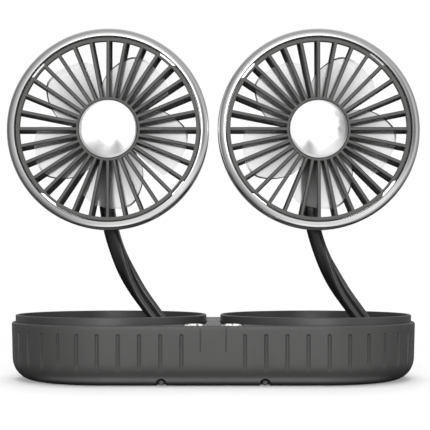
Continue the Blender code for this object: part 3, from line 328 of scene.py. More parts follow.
def lathe(name, profile, steps, axis, centre, smooth_angle=SMOOTH_ANGLE):
    # A profile that starts and ends on the axis is closed by a fan of faces at each end.
    bm = bmesh.new()
    middle = Vector(centre)
    on_axis = profile[0][0] == 0.0
    points = profile[1:-1] if on_axis else profile
    rings = []
    for radius, along in points:
        rings.append([bm.verts.new(middle + axis_point(radius, angle, along, axis)) for angle in full_turn(steps)])
    for first, second in zip(rings, rings[1:]):
        join_rings(bm, first, second)
    if on_axis:
        for ring, place in ((rings[0], profile[0]), (rings[-1], profile[-1])):
            tip = bm.verts.new(middle + axis_point(0.0, 0.0, place[1], axis))
            for step in range(steps):
                bm.faces.new((ring[step], ring[(step + 1) % steps], tip))
    else:
        join_rings(bm, rings[-1], rings[0])
    return new_object(name, bm, smooth_angle)


def boolean(item, cutter, operation="DIFFERENCE"):
    modifier = item.modifiers.new(operation.lower(), "BOOLEAN")
    modifier.operation = operation
    modifier.solver = "EXACT"
    modifier.object = cutter
    graph = bpy.context.evaluated_depsgraph_get()
    mesh = bpy.data.meshes.new_from_object(item.evaluated_get(graph))
    item.modifiers.clear()
    item.data = mesh
    bpy.data.objects.remove(cutter, do_unlink=True)


# Node helpers


def feed(tree, socket, value):
    # Links the output of another node to a socket, or sets a plain value on it.
    if isinstance(value, bpy.types.NodeSocket):
        tree.links.new(value, socket)
    else:
        socket.default_value = value


def set_inputs(tree, made, **inputs):
    for name, value in inputs.items():
        feed(tree, made.inputs[name.replace("_", " ")], value)
    return made


def node(tree, kind, **inputs):
    return set_inputs(tree, tree.nodes.new(kind), **inputs)


def grey(level):
    return (level, level, level, 1.0)


def combine(tree, operation, first, second=None):
    # One arithmetic step on linked values or plain numbers.
    step = tree.nodes.new("ShaderNodeMath")
    step.operation = operation
    feed(tree, step.inputs[0], first)
    if second is not None:
        feed(tree, step.inputs[1], second)
    return step.outputs[0]


def measure(tree, operation, *vectors):
    # A number taken from linked or plain vectors.
    step = tree.nodes.new("ShaderNodeVectorMath")
    step.operation = operation
    for socket, vector in zip(step.inputs, vectors):
        feed(tree, socket, vector)
    return step.outputs["Value"]


def multiply(tree, product, *others):
    for other in others:
        product = combine(tree, "MULTIPLY", product, other)
    return product


def blend(tree, share, first, second, kind="FLOAT"):
    # The places of the sockets of a mix node: the two ends, then the result.
    low, high, result = {"FLOAT": (2, 3, 0), "RGBA": (6, 7, 2)}[kind]
    mix = tree.nodes.new("ShaderNodeMix")
    mix.data_type = kind
    for index, value in ((0, share), (low, first), (high, second)):
        feed(tree, mix.inputs[index], value)
    return mix.outputs[result]


def map_range(tree, value, start, end, low=0.0, high=1.0, kind="LINEAR"):
    spread = node(tree, "ShaderNodeMapRange", Value=value, From_Min=start, From_Max=end, To_Min=low, To_Max=high)
    spread.interpolation_type = kind
    return spread.outputs["Result"]


def share_of(tree, name):
    # A share stored on the mesh's points.
    attribute = tree.nodes.new("ShaderNodeAttribute")
    attribute.attribute_name = name
    return attribute.outputs["Fac"]


def split_axes(tree, vector):
    return node(tree, "ShaderNodeSeparateXYZ", Vector=vector).outputs


def colour_ramp(tree, source, stops):
    ramp = node(tree, "ShaderNodeValToRGB", Fac=source)
    elements = ramp.color_ramp.elements
    while len(elements) < len(stops):
        elements.new(0.5)
    for element, (position, colour) in zip(elements, stops):
        element.position = position
        element.color = colour
    return ramp.outputs["Color"]


def grey_ramp(tree, source, stops, reach):
    # Grey levels at places from 0 to reach.
    return colour_ramp(tree, combine(tree, "DIVIDE", source, reach),
                       [(position / reach, grey(level)) for position, level in stops])


# Materials


def start_material(name, colour, **settings):
    material = bpy.data.materials.new(name)
    material.use_nodes = True
    tree = material.node_tree
    shader = set_inputs(tree, tree.nodes["Principled BSDF"], Base_Color=(*colour, 1.0), **settings)
    place = tree.nodes.new("ShaderNodeTexCoord").outputs["Object"]
    return material, tree, shader, place


def vary_colour(tree, shader, place, colour, scale, spread):
    # Slow mottling of the moulded colour.
    noise = node(tree, "ShaderNodeTexNoise", Vector=place, Scale=scale, Detail=4.0, Roughness=0.6)
    stops = [(position, (*(channel * factor for channel in colour), 1.0))
             for position, factor in ((0.25, 1 - spread), (0.75, 1 + spread))]
    set_inputs(tree, shader, Base_Color=colour_ramp(tree, noise.outputs["Fac"], stops))


def vary_roughness(tree, shader, place, low, high, scale):
    noise = node(tree, "ShaderNodeTexNoise", Vector=place, Scale=scale, Detail=3.0)
    set_inputs(tree, shader, Roughness=map_range(tree, noise.outputs["Fac"], 0.3, 0.7, low, high))


def add_grain(tree, shader, place, scale, strength, distance=0.0001, stretch=None):
    # Fine surface grain as bump.
    if stretch:
        place = node(tree, "ShaderNodeMapping", Vector=place, Scale=stretch).outputs["Vector"]
    noise = node(tree, "ShaderNodeTexNoise", Vector=place, Scale=scale, Detail=2.0)
    bump = node(tree, "ShaderNodeBump", Strength=strength, Distance=distance, Height=noise.outputs["Fac"])
    set_inputs(tree, shader, Normal=bump.outputs["Normal"])


def plastic(name, colour, rough_low, rough_high, grain, spread, specular):
    material, tree, shader, place = start_material(name, colour, Specular_IOR_Level=specular)
    vary_colour(tree, shader, place, colour, 55.0, spread)
    vary_roughness(tree, shader, place, rough_low, rough_high, 140.0)
    add_grain(tree, shader, place, 1900.0, grain)
    return material


def paint_shade(tree, dark, share):
    # Paints shade into the base colour: mixes it towards dark by the share.
    shader = tree.nodes["Principled BSDF"]
    tone = shader.inputs["Base Color"].links[0].from_socket
    set_inputs(tree, shader, Base_Color=blend(tree, share, tone, (*dark, 1.0), "RGBA"))


def plated(name, colour, rough_low, rough_high, waviness):
    material, tree, shader, place = start_material(name, colour, Metallic=1.0)
    vary_roughness(tree, shader, place, rough_low, rough_high, 90.0)
    add_grain(tree, shader, place, 35.0, waviness, 0.0004)
    return material


def metal(name, colour, rough_low, rough_high, stretch):
    material, tree, shader, place = start_material(name, colour, Metallic=1.0)
    vary_colour(tree, shader, place, colour, 80.0, 0.08)
    vary_roughness(tree, shader, place, rough_low, rough_high, 200.0)
    add_grain(tree, shader, place, 700.0, 0.2, 0.00005, stretch)
    return material


def frosted(name, level, clearness):
    # Milky blade that lets soft light through, with painted shade: its leading edge is darker, and it is darker at the
    # root.
    material, tree, shader, place = start_material(name, (level, level, level), Roughness=0.40, IOR=1.12,
                                                   Specular_IOR_Level=0.25, Transmission_Weight=clearness)
    # Painted shade: darker towards the root, lighter out to the tip.
    tone = colour_ramp(tree, share_of(tree, "reach"), [(0.0, grey(level * 0.40)), (0.85, grey(level))])
    # Painted shade line along the leading edge.
    set_inputs(tree, shader, Base_Color=blend(tree, share_of(tree, "edge"), tone, grey(0.03), "RGBA"))
    add_grain(tree, shader, place, 1400.0, 0.15)
    return material


def crystal(name):
    # Clear cut lens with painted sparkle: patches of white and dark stand in for glints and reflections in its facets,
    # and it is darker towards the tips.
    material, tree, shader, place = start_material(name, (0.8, 0.8, 0.8), Roughness=0.12)
    cells = node(tree, "ShaderNodeTexVoronoi", Vector=place, Scale=620.0)
    # Painted glints and dark reflections.
    painted_sparkle = colour_ramp(tree, cells.outputs["Distance"],
                          [(0.50, (0.95, 0.95, 0.93, 1.0)), (0.75, (0.16, 0.16, 0.15, 1.0))])
    across = combine(tree, "ABSOLUTE", split_axes(tree, place)["X"])
    from_middle = combine(tree, "ABSOLUTE", combine(tree, "SUBTRACT", across, LENS_OFFSET))
    tip = map_range(tree, from_middle, *LENS_TIP_SHADE, 1.0, 0.30)
    set_inputs(tree, shader, Base_Color=blend(tree, tip, grey(0.12), painted_sparkle, "RGBA"))
    add_grain(tree, shader, place, 700.0, 0.4)
    return material


def laminate(name):
    colour = (0.02, 0.16, 0.07)
    material, tree, shader, place = start_material(name, colour, Roughness=0.4)
    vary_colour(tree, shader, place, colour, 160.0, 0.35)
    add_grain(tree, shader, place, 900.0, 0.3)
    return material


# Moulded plastics: key, name, colour, lowest and highest roughness, grain, spread of the colour, specular level
MOULDED = (
    ("casing", "casing_moulded", (0.066, 0.066, 0.0645), 0.36, 0.45, 0.30, 0.04, 0.75),
    ("cup", "cup_moulded", (0.048, 0.048, 0.048), 0.32, 0.40, 0.22, 0.05, 1.0),
    ("arm", "arm_gloss", (0.012, 0.012, 0.012), 0.20, 0.30, 0.06, 0.10, 0.4),
    ("liner", "liner_satin", (0.055, 0.055, 0.055), 0.18, 0.24, 0.05, 0.10, 1.0),
    ("grille", "grille_moulded", (0.100, 0.100, 0.097), 0.42, 0.54, 0.20, 0.05, 0.5),
    ("duct", "duct_black", (0.012, 0.012, 0.012), 0.35, 0.50, 0.20, 0.10, 0.3),
    ("hub", "impeller_hub_white", (0.30, 0.30, 0.31), 0.30, 0.42, 0.10, 0.04, 0.35),
    ("pad", "rubber_pad", (0.030, 0.030, 0.030), 0.75, 0.90, 0.50, 0.12, 0.2),
    ("button", "button_satin", (0.10, 0.10, 0.10), 0.30, 0.42, 0.10, 0.05, 0.4),
    ("bush", "bush_natural", (0.70, 0.69, 0.65), 0.38, 0.50, 0.10, 0.04, 0.4),
)


def make_materials():
    # Painted shade: the spokes' rounded flanks are darker than their fronts, and the arm's strip is darker in its
    # upper half.
    mats = {key: plastic(*values) for key, *values in MOULDED}
    tree = mats["grille"].node_tree
    paint_shade(tree, (0.022, 0.022, 0.021), share_of(tree, "flank"))
    tree = mats["liner"].node_tree
    # Painted shade: the strip is darkened above these heights, standing in for its ribs turning away from the light.
    height = split_axes(tree, tree.nodes["Texture Coordinate"].outputs["Object"])["Z"]
    paint_shade(tree, (0.008, 0.008, 0.008), map_range(tree, height, *STRIP_PAINTED_SHADE_HEIGHTS))
    mats["bright"] = plated("bright_plating", (0.97, 0.97, 0.97), 0.03, 0.08, 0.05)
    mats["blade"] = frosted("blade_frosted", 0.88, 0.92)
    mats["steel"] = metal("steel_plain", (0.50, 0.50, 0.51), 0.28, 0.42, (1.0, 12.0, 1.0))
    mats["lens"] = crystal("lens_crystal")
    mats["board"] = laminate("board_laminate")
    return mats


# Base


def outline_point(place, inset):
    # A point round the base at a place along the outline of the outer wall, moved inward by inset.
    arc = math.pi * END_RADIUS
    radius = END_RADIUS - inset
    side = 1 if place >= 0 else -1
    run = abs(place)
    if run <= HALF_SPACING:
        return Vector((side * run, -radius, 0.0))
    if run <= HALF_SPACING + arc:
        angle = -math.pi / 2 + (run - HALF_SPACING) / END_RADIUS
        return Vector((side * (HALF_SPACING + radius * math.cos(angle)), radius * math.sin(angle), 0.0))
    return Vector((side * (2 * HALF_SPACING + arc - run), radius, 0.0))


def groove_places():
    # One every pitch on both sides, all but beside the front's middle and along the plain rear.
    places = []
    count = 1.5
    while count * GROOVE_PITCH < HALF_OUTLINE - GROOVE_REAR_PLAIN:
        places += [count * GROOVE_PITCH, -count * GROOVE_PITCH]
        count += 1
    return places


def mark_columns(columns, centre, unit, shares):
    for share in shares:
        columns.update((round(centre - share * unit, 7), round(centre + share * unit, 7)))


def casing_columns(grooves):
    # Places round the outline: close together at the grooves and seams, evenly spread elsewhere.
    columns = set()
    for centre in grooves:
        mark_columns(columns, centre, GROOVE_WIDTH / 2, GROOVE_COLUMNS)
    for centre in (-SEAM_OFFSET, SEAM_OFFSET):
        mark_columns(columns, centre, SEAM_WIDTH, SEAM_COLUMNS)
    count = int(2 * HALF_OUTLINE / COLUMN_SPACING)
    for index in range(count):
        place = -HALF_OUTLINE + 2 * HALF_OUTLINE * index / count
        if all(abs(place - column) > COLUMN_SPACING * 0.35 for column in columns):
            columns.add(round(place, 7))
    return sorted(columns)


def draft(height):
    # The wall leans in a little towards the foot.
    return WALL_DRAFT * min(max((DRAFT_TOP - height) / DRAFT_HEIGHT, 0.0), 1.0)


def casing_rows():
    # Heights up the wall with their inset: the rounded foot, the wall, the grooves' round tops, the rounded top.
    rows = []
    for angle in quarter_turn(14):
        height = FOOT_BOTTOM + FOOT_FILLET * (1 - math.cos(angle))
        rows.append((height, FOOT_FILLET * (1 - math.sin(angle)) + draft(height)))
    rows += [(height, draft(height)) for height in WALL_ROWS]
    height = GROOVE_TOP - 0.0016
    while height < GROOVE_TOP + 0.0004:
        rows.append((height, draft(height)))
        height += CROWN_ROW_SPACING
    rows.append((DRAFT_TOP, 0.0))
    for angle in quarter_turn(4):
        rows.append((DECK_TOP - TOP_ROUND + TOP_ROUND * math.sin(angle), TOP_ROUND * (1 - math.cos(angle))))
    return rows


def groove_mask(place, height, grooves):
    # 1 at the grooves' full depth, 0 on the plain wall; the middle of a groove is raised.
    half = GROOVE_WIDTH / 2
    nearest = min(abs(place - centre) for centre in grooves)
    if nearest > half * 1.6:
        return 0.0
    distance = math.hypot(nearest, max(height - (GROOVE_TOP - half), 0.0))
    slit = smooth_step((half + GROOVE_EDGE * 0.4 - distance) / GROOVE_EDGE)
    middle = smooth_step((half * RIDGE_HALF - distance) / (half * RIDGE_FADE))
    return slit * (1.0 - RIDGE_HEIGHT * middle)


def seam_mask(place, height):
    if height > SEAM_TOP or height < SEAM_BOTTOM:
        return 0.0
    distance = abs(abs(place) - SEAM_OFFSET)
    return smooth_step((SEAM_WIDTH - distance) / (SEAM_WIDTH * 0.6))


def casing_surface():
    grooves = groove_places()
    columns = casing_columns(grooves)
    rings = []
    for height, inset in casing_rows():
        depth = max(GROOVE_DEPTH + 0.4 * draft(height) - inset, 0.0)
        ring = []
        for place in columns:
            deep = max(depth * groove_mask(place, height, grooves), SEAM_DEPTH * seam_mask(place, height))
            spot = outline_point(place, inset + deep)
            spot.z = height
            ring.append(spot)
        rings.append(ring)
    return tube("casing_shell", rings, 40.0)


def casing_hollow():
    inner = END_RADIUS - CASING_WALL
    floor = PAD_STAND + CASING_WALL
    fillet = FOOT_FILLET - CASING_WALL
    levels = [(CASING_THROAT, CUT_BELOW), (CASING_THROAT, floor)]
    for angle in quarter_turn(6):
        levels.append((inner - fillet * (1 - math.sin(angle)), floor + fillet * (1 - math.cos(angle))))
    levels.append((inner, DECK_TOP - DECK_THICKNESS))
    rings = []
    for radius, height in levels:
        ring = []
        for side in (1, -1):
            for step in range(41):
                angle = -side * math.pi / 2 + math.pi * step / 40
                ring.append((side * HALF_SPACING + radius * math.cos(angle), radius * math.sin(angle), height))
        rings.append(ring)
    return tube("hollow_cutter", rings)


def cup_opening(side):
    wide = CUP_OPENING_RADIUS + DECK_EDGE
    profile = [
        (0.0, OPENING_CUT_BOTTOM), (CUP_OPENING_RADIUS, OPENING_CUT_BOTTOM),
        (CUP_OPENING_RADIUS, DECK_TOP - DECK_EDGE), (wide, DECK_TOP + 0.00001), (wide, CUT_ABOVE), (0.0, CUT_ABOVE),
    ]
    return lathe("opening_cutter", profile, 160, "Z", (side * HALF_SPACING, 0.0, 0.0))


def key_notch(side):
    # A round notch with a low flat sill at its mouth.
    profile = [(0.0, -CUT_OUTSIDE), (NOTCH_RADIUS + NOTCH_FLARE, -CUT_OUTSIDE), (NOTCH_RADIUS, NOTCH_FLARE_Y),
               (NOTCH_RADIUS, -COVER_RADIUS), (0.0, -COVER_RADIUS)]
    cutter = lathe("notch_cutter", profile, 40, "Y", (side * NOTCH_OFFSET, 0.0, NOTCH_HEIGHT))
    for vert in cutter.data.vertices:
        if vert.co.y < NOTCH_SILL_Y:
            vert.co.z = max(vert.co.z, NOTCH_SILL)
    return cutter


def recess_shape(side):
    # The sunk part of the deck between a cup and the front edge.
    opening_y = -math.sqrt(CUP_OPENING_RADIUS ** 2 - (HALF_SPACING - RECESS_OUTER) ** 2)
    outline = [(RECESS_INNER, RECESS_FRONT_Y), (RECESS_OUTER, RECESS_FRONT_Y)]
    outline += [(RECESS_OUTER, opening_y + 0.002), (RECESS_INNER, 0.0)]
    rings = [[(side * x, y, height) for x, y in outline] for height in (DECK_TOP - RECESS_DEPTH, CUT_ABOVE)]
    return tube("recess_cutter", rings)


def lens_shape(name, side, grow, levels, steps):
    # Eye-shaped outline with a tip at each end; the levels are (share, height).
    rings = []
    for share, height in levels:
        ring = []
        for angle in full_turn(steps):
            along = math.cos(angle) * (LENS_HALF_LENGTH + grow) * share
            across = math.sin(angle) * abs(math.sin(angle)) * (LENS_HALF_WIDTH + grow) * share
            ring.append((side * LENS_OFFSET + along, LENS_CENTRE_Y + across, height))
        rings.append(ring)
    return tube(name, rings, 24.0)


def make_casing(mats):
    casing = casing_surface()
    boolean(casing, casing_hollow())
    for _, side in SIDES:
        boolean(casing, cup_opening(side))
        boolean(casing, key_notch(side))
        boolean(casing, recess_shape(side))
        pocket = [(1.0, DECK_TOP - LENS_POCKET), (1.0, CUT_ABOVE)]
        boolean(casing, lens_shape("lens_cutter", side, FIT_GAP / 2, pocket, 24))
    seat = [(0.0, INLET_CUT_FRONT), (INLET_BORE_RADIUS, INLET_CUT_FRONT), (INLET_BORE_RADIUS, INLET_SEAT_Y),
            (INLET_SEAT_RADIUS, INLET_SEAT_Y), (INLET_SEAT_RADIUS, CUT_OUTSIDE), (0.0, CUT_OUTSIDE)]
    boolean(casing, lathe("inlet_cutter", seat, 48, "Y", (0.0, 0.0, INLET_HEIGHT)))
    smooth_from_angle(casing, 40.0)
    finish_piece(casing, "base", mats["casing"], "casing", "base_casing")


def make_lenses(mats):
    # Faceted crown over a straight edge.
    levels = [(1.0, DECK_TOP - RECESS_DEPTH - 0.0001)]
    levels += [(share, DECK_TOP + rise) for share, rise in LENS_LEVELS]
    for label, side in SIDES:
        lens = lens_shape(f"{label}_lens_crowned", side, -FIT_GAP / 2, levels, 22)
        finish_piece(lens, "base", mats["lens"], "lens", f"{label}_indicator_lens")


def make_buttons(mats):
    # Round tip on a stem, with the flange that keeps it in.
    profile = [(0.0, BUTTON_TIP_Y)]
    for angle in quarter_turn(8)[1:]:
        profile.append((BUTTON_RADIUS * math.sin(angle), BUTTON_TIP_Y + BUTTON_RADIUS * (1 - math.cos(angle))))
    profile += [(BUTTON_RADIUS, BUTTON_STEM_BACK_Y), (BUTTON_FLANGE_RADIUS, BUTTON_FLANGE_FRONT_Y),
                (BUTTON_FLANGE_RADIUS, BUTTON_FLANGE_BACK_Y), (0.0, BUTTON_FLANGE_BACK_Y)]
    for label, side in SIDES:
        button = lathe(f"{label}_button_domed", profile, 32, "Y", (side * NOTCH_OFFSET, 0.0, BUTTON_HEIGHT))
        finish_piece(button, f"{label}_key", mats["button"], "button", f"{label}_button")


def make_cups(mats):
    inner = COLLAR_RADIUS - CUP_WALL
    profile = rounded([
        (0.0, CUP_FLOOR_TOP), (inner, CUP_FLOOR_TOP, 0.0025), (inner, COLLAR_TOP, 0.0005),
        (COLLAR_RADIUS, COLLAR_TOP, 0.0007), (COLLAR_RADIUS, CUP_UNDERSIDE, 0.0030),
        (0.0, CUP_UNDERSIDE),
    ], 6)
    for label, side in SIDES:
        cup = lathe(f"{label}_cup_shell", profile, 160, "Z", (side * HALF_SPACING, 0.0, 0.0))
        finish_piece(cup, f"{label}_turntable", mats["cup"], "cup", f"{label}_cup")


# Arms


def arm_stations(first_drop):
    # Places down the arm from a drop below the tilt axis: x, z, lean, and the share of the whole run.
    centre_x = ARM_BEND_RADIUS * math.cos(ARM_TOP_LEAN)
    centre_z = TILT_HEIGHT - ARM_BEND_RADIUS * math.sin(ARM_TOP_LEAN)
    bend = ARM_BEND_RADIUS * (ARM_TOP_LEAN + ARM_FOOT_LEAN)
    total = bend + ARM_STRAIGHT
    stations = []
    for step in range(ARM_STEPS + 1):
        run = first_drop + (total - first_drop) * step / ARM_STEPS
        lean = min(-ARM_TOP_LEAN + run / ARM_BEND_RADIUS, ARM_FOOT_LEAN)
        straight = max(run - bend, 0.0)
        x = centre_x - ARM_BEND_RADIUS * math.cos(lean) + straight * math.sin(lean)
        z = centre_z - ARM_BEND_RADIUS * math.sin(lean) - straight * math.cos(lean)
        stations.append((x, z, lean, run / total))
    return stations


def cover_strip(across, share):
    # The arm covers its strip in the upper half, and leaves it bare below.
    hidden = (1.0 - eased(share, *STRIP_BARED)) * eased(share, *STRIP_HIDDEN)
    return across * (1.0 + (ARM_COVER / ARM_TRIM_SEAT - 1.0) * hidden) if across > 0.0 else across


def raise_strip(across, share):
    # The strip's ribs are low in the upper half, and reach their full height before they come out of the arm.
    return ARM_TRIM_SEAT + (across - ARM_TRIM_SEAT) * (0.4 + 0.6 * eased(share, *STRIP_RAISED))


def sweep(name, outline, stations, offset_x, shape):
    # Carries an outline of (across, forward) points down the arm. It turns forward on its way.
    rings = []
    for x, z, lean, share in stations:
        twist = ARM_TWIST_TOP + (ARM_TWIST_FOOT - ARM_TWIST_TOP) * eased(share, *ARM_TWIST)
        ring = []
        for plain, forward in outline:
            across = shape(plain, share)
            side = across * math.cos(twist) - forward * math.sin(twist)
            ahead = across * math.sin(twist) + forward * math.cos(twist)
            ring.append((offset_x + x + side * math.cos(lean), -ahead, z + side * math.sin(lean)))
        rings.append(ring)
    return tube(name, rings, 42.0)


def strip_outlines():
    # Two half-round ribs side by side, with a groove between them.
    seat = ARM_TRIM_SEAT + 0.0001
    middle = (ARM_TRIM_HALF + ARM_GROOVE_HALF) / 2
    reach = (ARM_TRIM_HALF - ARM_GROOVE_HALF) / 2
    angles = [math.pi * step / 12 for step in range(13)]
    return [[(seat + (ARM_HALF - seat) * math.sin(angle) ** 0.5, centre - reach * math.cos(angle))
             for angle in angles] for centre in (-middle, middle)]


def knuckle_shape(label, x):
    # The eye round the tilt pin, and the neck that joins it to the arm.
    eye = [(0.0, -KNUCKLE_HALF), (KNUCKLE_RADIUS, -KNUCKLE_HALF), (KNUCKLE_RADIUS, KNUCKLE_HALF), (0.0, KNUCKLE_HALF)]
    knuckle = lathe(f"{label}_knuckle", rounded(eye, 3, 0.0006), 40, "X", (x, 0.0, TILT_HEIGHT))
    bm = bmesh.new()
    matrix = Matrix.Translation((x, 0.0, TILT_HEIGHT - NECK_DROP)) @ Matrix.Diagonal((*NECK_SIZE, 1.0))
    bmesh.ops.create_cube(bm, size=1.0, matrix=matrix)
    boolean(knuckle, new_object("neck_adder", bm), "UNION")
    add_bevel(knuckle, 0.0004)
    return knuckle


def make_arms(mats):
    outline = rounded([
        (-ARM_HALF, -ARM_HALF, ARM_REAR_ROUND), (ARM_TRIM_SEAT, -ARM_HALF, ARM_FRONT_ROUND),
        (ARM_TRIM_SEAT, ARM_HALF, ARM_FRONT_ROUND), (-ARM_HALF, ARM_HALF, ARM_REAR_ROUND),
    ], 7)
    for label, side in SIDES:
        x = side * HALF_SPACING
        arm = sweep(f"{label}_arm_rounded", outline, arm_stations(ARM_DROP), x, cover_strip)
        knuckle = knuckle_shape(label, x)
        finish_piece(arm, f"{label}_turntable", mats["arm"], "arm", f"{label}_arm")
        finish_piece(knuckle, f"{label}_turntable", mats["arm"], "arm")
        for place, rib in zip(("rear", "front"), strip_outlines()):
            strip = sweep(f"{label}_liner_{place}", rib, arm_stations(LINER_DROP), x, raise_strip)
            nodes = [f"{label}_arm_liner"] if place == "front" else []
            finish_piece(strip, f"{label}_turntable", mats["liner"], "liner", *nodes)


# Heads


def head_centre(side):
    return Vector((side * HALF_SPACING, 0.0, TILT_HEIGHT))


def make_ring(label, side, mats):
    # Bright bezel that curves back from its inner edge, and the inner flange that the grille is seated on.
    profile = [(RING_INNER, RING_FRONT + 0.0007, 0.0), (RING_INNER + 0.00007, RING_FRONT + 0.0003, 0.0)]
    lip = RING_INNER + RING_LIP
    width = RING_RADIUS - lip
    steps = 20
    depth = 0.0
    for step in range(steps + 1):
        profile.append((lip + width * step / steps, RING_FRONT + depth, 0.0))
        bent = ((step + 0.5) / steps) ** RING_TILT_POWER
        depth += width / steps * math.tan(RING_TILT_INNER + (RING_TILT_OUTER - RING_TILT_INNER) * bent)
    bore = DUCT_RADIUS + FIT_GAP
    profile += [
        (RING_RADIUS, RING_BACK, 0.0008), (bore, RING_BACK, 0.0003), (bore, DUCT_FRONT - FIT_GAP, 0.0),
        (SEAT_RADIUS, DUCT_FRONT - FIT_GAP, 0.0003), (SEAT_RADIUS, GRILLE_BACK + FIT_GAP, 0.0003),
        (RING_INNER, GRILLE_BACK + FIT_GAP, 0.0),
    ]
    ring = lathe(f"{label}_bezel", rounded(profile), 192, "Y", head_centre(side), 50.0)
    finish_piece(ring, f"{label}_head", mats["bright"], "bright", f"{label}_bright_ring")


def make_spokes(name, centre, inner, outer, width, front, back, edge):
    # Bars along the radii with rounded front edges, and the share of each point that lies on a flank, where the
    # grille's material paints shade.
    half = width / 2
    section = rounded([(-half, front, edge), (half, front, edge), (half, back, 0.0), (-half, back, 0.0)], 3)
    bm = bmesh.new()
    flank = bm.verts.layers.float.new("flank")
    for angle in full_turn(SPOKE_COUNT):
        rings = []
        for radius in (inner, outer):
            ring = []
            for across, along in section:
                x = radius * math.cos(angle) - across * math.sin(angle)
                z = radius * math.sin(angle) + across * math.cos(angle)
                vert = bm.verts.new(centre + Vector((x, along, z)))
                # Share of painted shade: 1 on the rounded flanks.
                vert[flank] = smooth_step((abs(across) - half + edge) / (edge * 0.8))
                ring.append(vert)
            rings.append(ring)
        close_tube(bm, rings)
    return new_object(name, bm, 50.0)


def grille_rim_radius(angle):
    # The rim steps in over the four snap tabs, each one spoke pitch long.
    pitch = 2 * math.pi / SPOKE_COUNT
    turned = (angle + 1e-6 - math.pi / 4) % (math.pi / 2)
    return TAB_RADIUS if turned < pitch else GRILLE_RADIUS


def grille_rim(name, centre):
    bm = bmesh.new()
    rings = []
    for angle in full_turn(256):
        rim = grille_rim_radius(angle)
        skirt = rim + GRILLE_SKIRT
        section = rounded([
            (GRILLE_INNER, GRILLE_FRONT, 0.0004), (GRILLE_INNER, GRILLE_BACK, 0.0), (skirt, GRILLE_BACK, 0.0),
            (skirt, GRILLE_BACK - GRILLE_STEP, 0.0), (rim, GRILLE_BACK - GRILLE_STEP, 0.0),
            (rim, GRILLE_FRONT, 0.0003),
        ], 3)
        rings.append([bm.verts.new(centre + axis_point(radius, angle, along, "Y")) for radius, along in section])
    for first, second in zip(rings, rings[1:] + rings[:1]):
        join_rings(bm, first, second)
    return new_object(name, bm, 50.0)


def make_front_grille(label, side, mats):
    centre = head_centre(side)
    rim = grille_rim(f"{label}_grille_rim", centre)
    finish_piece(rim, f"{label}_head", mats["grille"], "grille", f"{label}_front_grille")
    spokes = make_spokes(f"{label}_grille_spokes", centre, HUB_RADIUS - SPOKE_OVERLAP, GRILLE_INNER + SPOKE_OVERLAP,
                         SPOKE_WIDTH, GRILLE_FRONT + 0.0001, GRILLE_BACK, 0.0005)
    finish_piece(spokes, f"{label}_head", mats["grille"], "grille")
    hub = [
        (0.0, GRILLE_BACK), (HUB_RADIUS, GRILLE_BACK, 0.0), (HUB_RADIUS, GRILLE_FRONT, 0.0005),
        (HUB_INNER, GRILLE_FRONT, 0.0003), (HUB_INNER, GRILLE_BACK - HUB_FLOOR, 0.0), (0.0, GRILLE_BACK - HUB_FLOOR),
    ]
    plate = lathe(f"{label}_grille_hub", rounded(hub), 128, "Y", centre)
    finish_piece(plate, f"{label}_head", mats["grille"], "grille")


def make_cap(label, side, mats):
    # Shallow domed bright cap with a small rounded edge.
    back = GRILLE_BACK - 0.0013
    edge = GRILLE_FRONT - 0.0001
    flat = CAP_RADIUS - CAP_EDGE
    profile = [(0.0, back), (CAP_RADIUS, back), (CAP_RADIUS, edge + CAP_EDGE), (CAP_RADIUS - 0.0001, edge + 0.0001)]
    for step in range(14):
        share = 1 - step / 13
        profile.append((flat * share, edge - CAP_RISE * (1 - share * share)))
    cap = lathe(f"{label}_cap_domed", profile, 128, "Y", head_centre(side), 30.0)
    finish_piece(cap, f"{label}_head", mats["bright"], "bright", f"{label}_hub_cap")


def make_duct(label, side, mats):
    centre = head_centre(side)
    wall = rounded([
        (DUCT_INNER, DUCT_FRONT, 0.0003), (DUCT_RADIUS, DUCT_FRONT, 0.0003), (DUCT_RADIUS, REAR_BACK, 0.0012),
        (DUCT_INNER, REAR_BACK, 0.0003),
    ])
    sleeve = lathe(f"{label}_duct_sleeve", wall, 160, "Y", centre)
    finish_piece(sleeve, f"{label}_head", mats["duct"], "duct", f"{label}_duct")
    spokes = make_spokes(f"{label}_rear_spokes", centre, HOLDER_RADIUS - SPOKE_OVERLAP, DUCT_INNER + SPOKE_OVERLAP,
                         REAR_SPOKE_WIDTH, REAR_FRONT, REAR_BACK, 0.0004)
    finish_piece(spokes, f"{label}_head", mats["duct"], "duct")
    holder = rounded([
        (HOLDER_BORE, REAR_FRONT, 0.0002), (HOLDER_BORE, REAR_BACK, 0.0002), (HOLDER_RADIUS, REAR_BACK, 0.0004),
        (HOLDER_RADIUS, REAR_FRONT, 0.0004),
    ], 3)
    ring = lathe(f"{label}_motor_holder", holder, 96, "Y", centre)
    finish_piece(ring, f"{label}_head", mats["duct"], "duct")


def blade_reach(share):
    # Catmull-Rom through the named shares of the tip radius.
    last = len(BLADE_REACH_SHARES) - 1
    place = share * last
    index = min(int(place), last - 1)
    t = place - index
    p = [BLADE_REACH_SHARES[min(max(index + k, 0), last)] for k in (-1, 0, 1, 2)]
    value = 0.5 * ((2 * p[1]) + (p[2] - p[0]) * t + (2 * p[0] - 5 * p[1] + 4 * p[2] - p[3]) * t * t
                   + (3 * p[1] - p[0] - 3 * p[2] + p[3]) * t ** 3)
    return BLADE_TIP * value


def blade_spot(u, v, turn, centre, offset):
    radius = IMPELLER_ROOT + (blade_reach(u) - IMPELLER_ROOT) * v
    angle = BLADE_LEAD - BLADE_SWEEP * u + turn
    outward = (radius - IMPELLER_ROOT) / (BLADE_TIP - IMPELLER_ROOT)
    axial = BLADE_AXIAL * (1 - outward * BLADE_TIP_NARROWING)
    along = BLADE_FRONT + (BLADE_AXIAL - axial) / 2 + axial * u + offset
    return centre + axis_point(radius, angle, along, "Y")


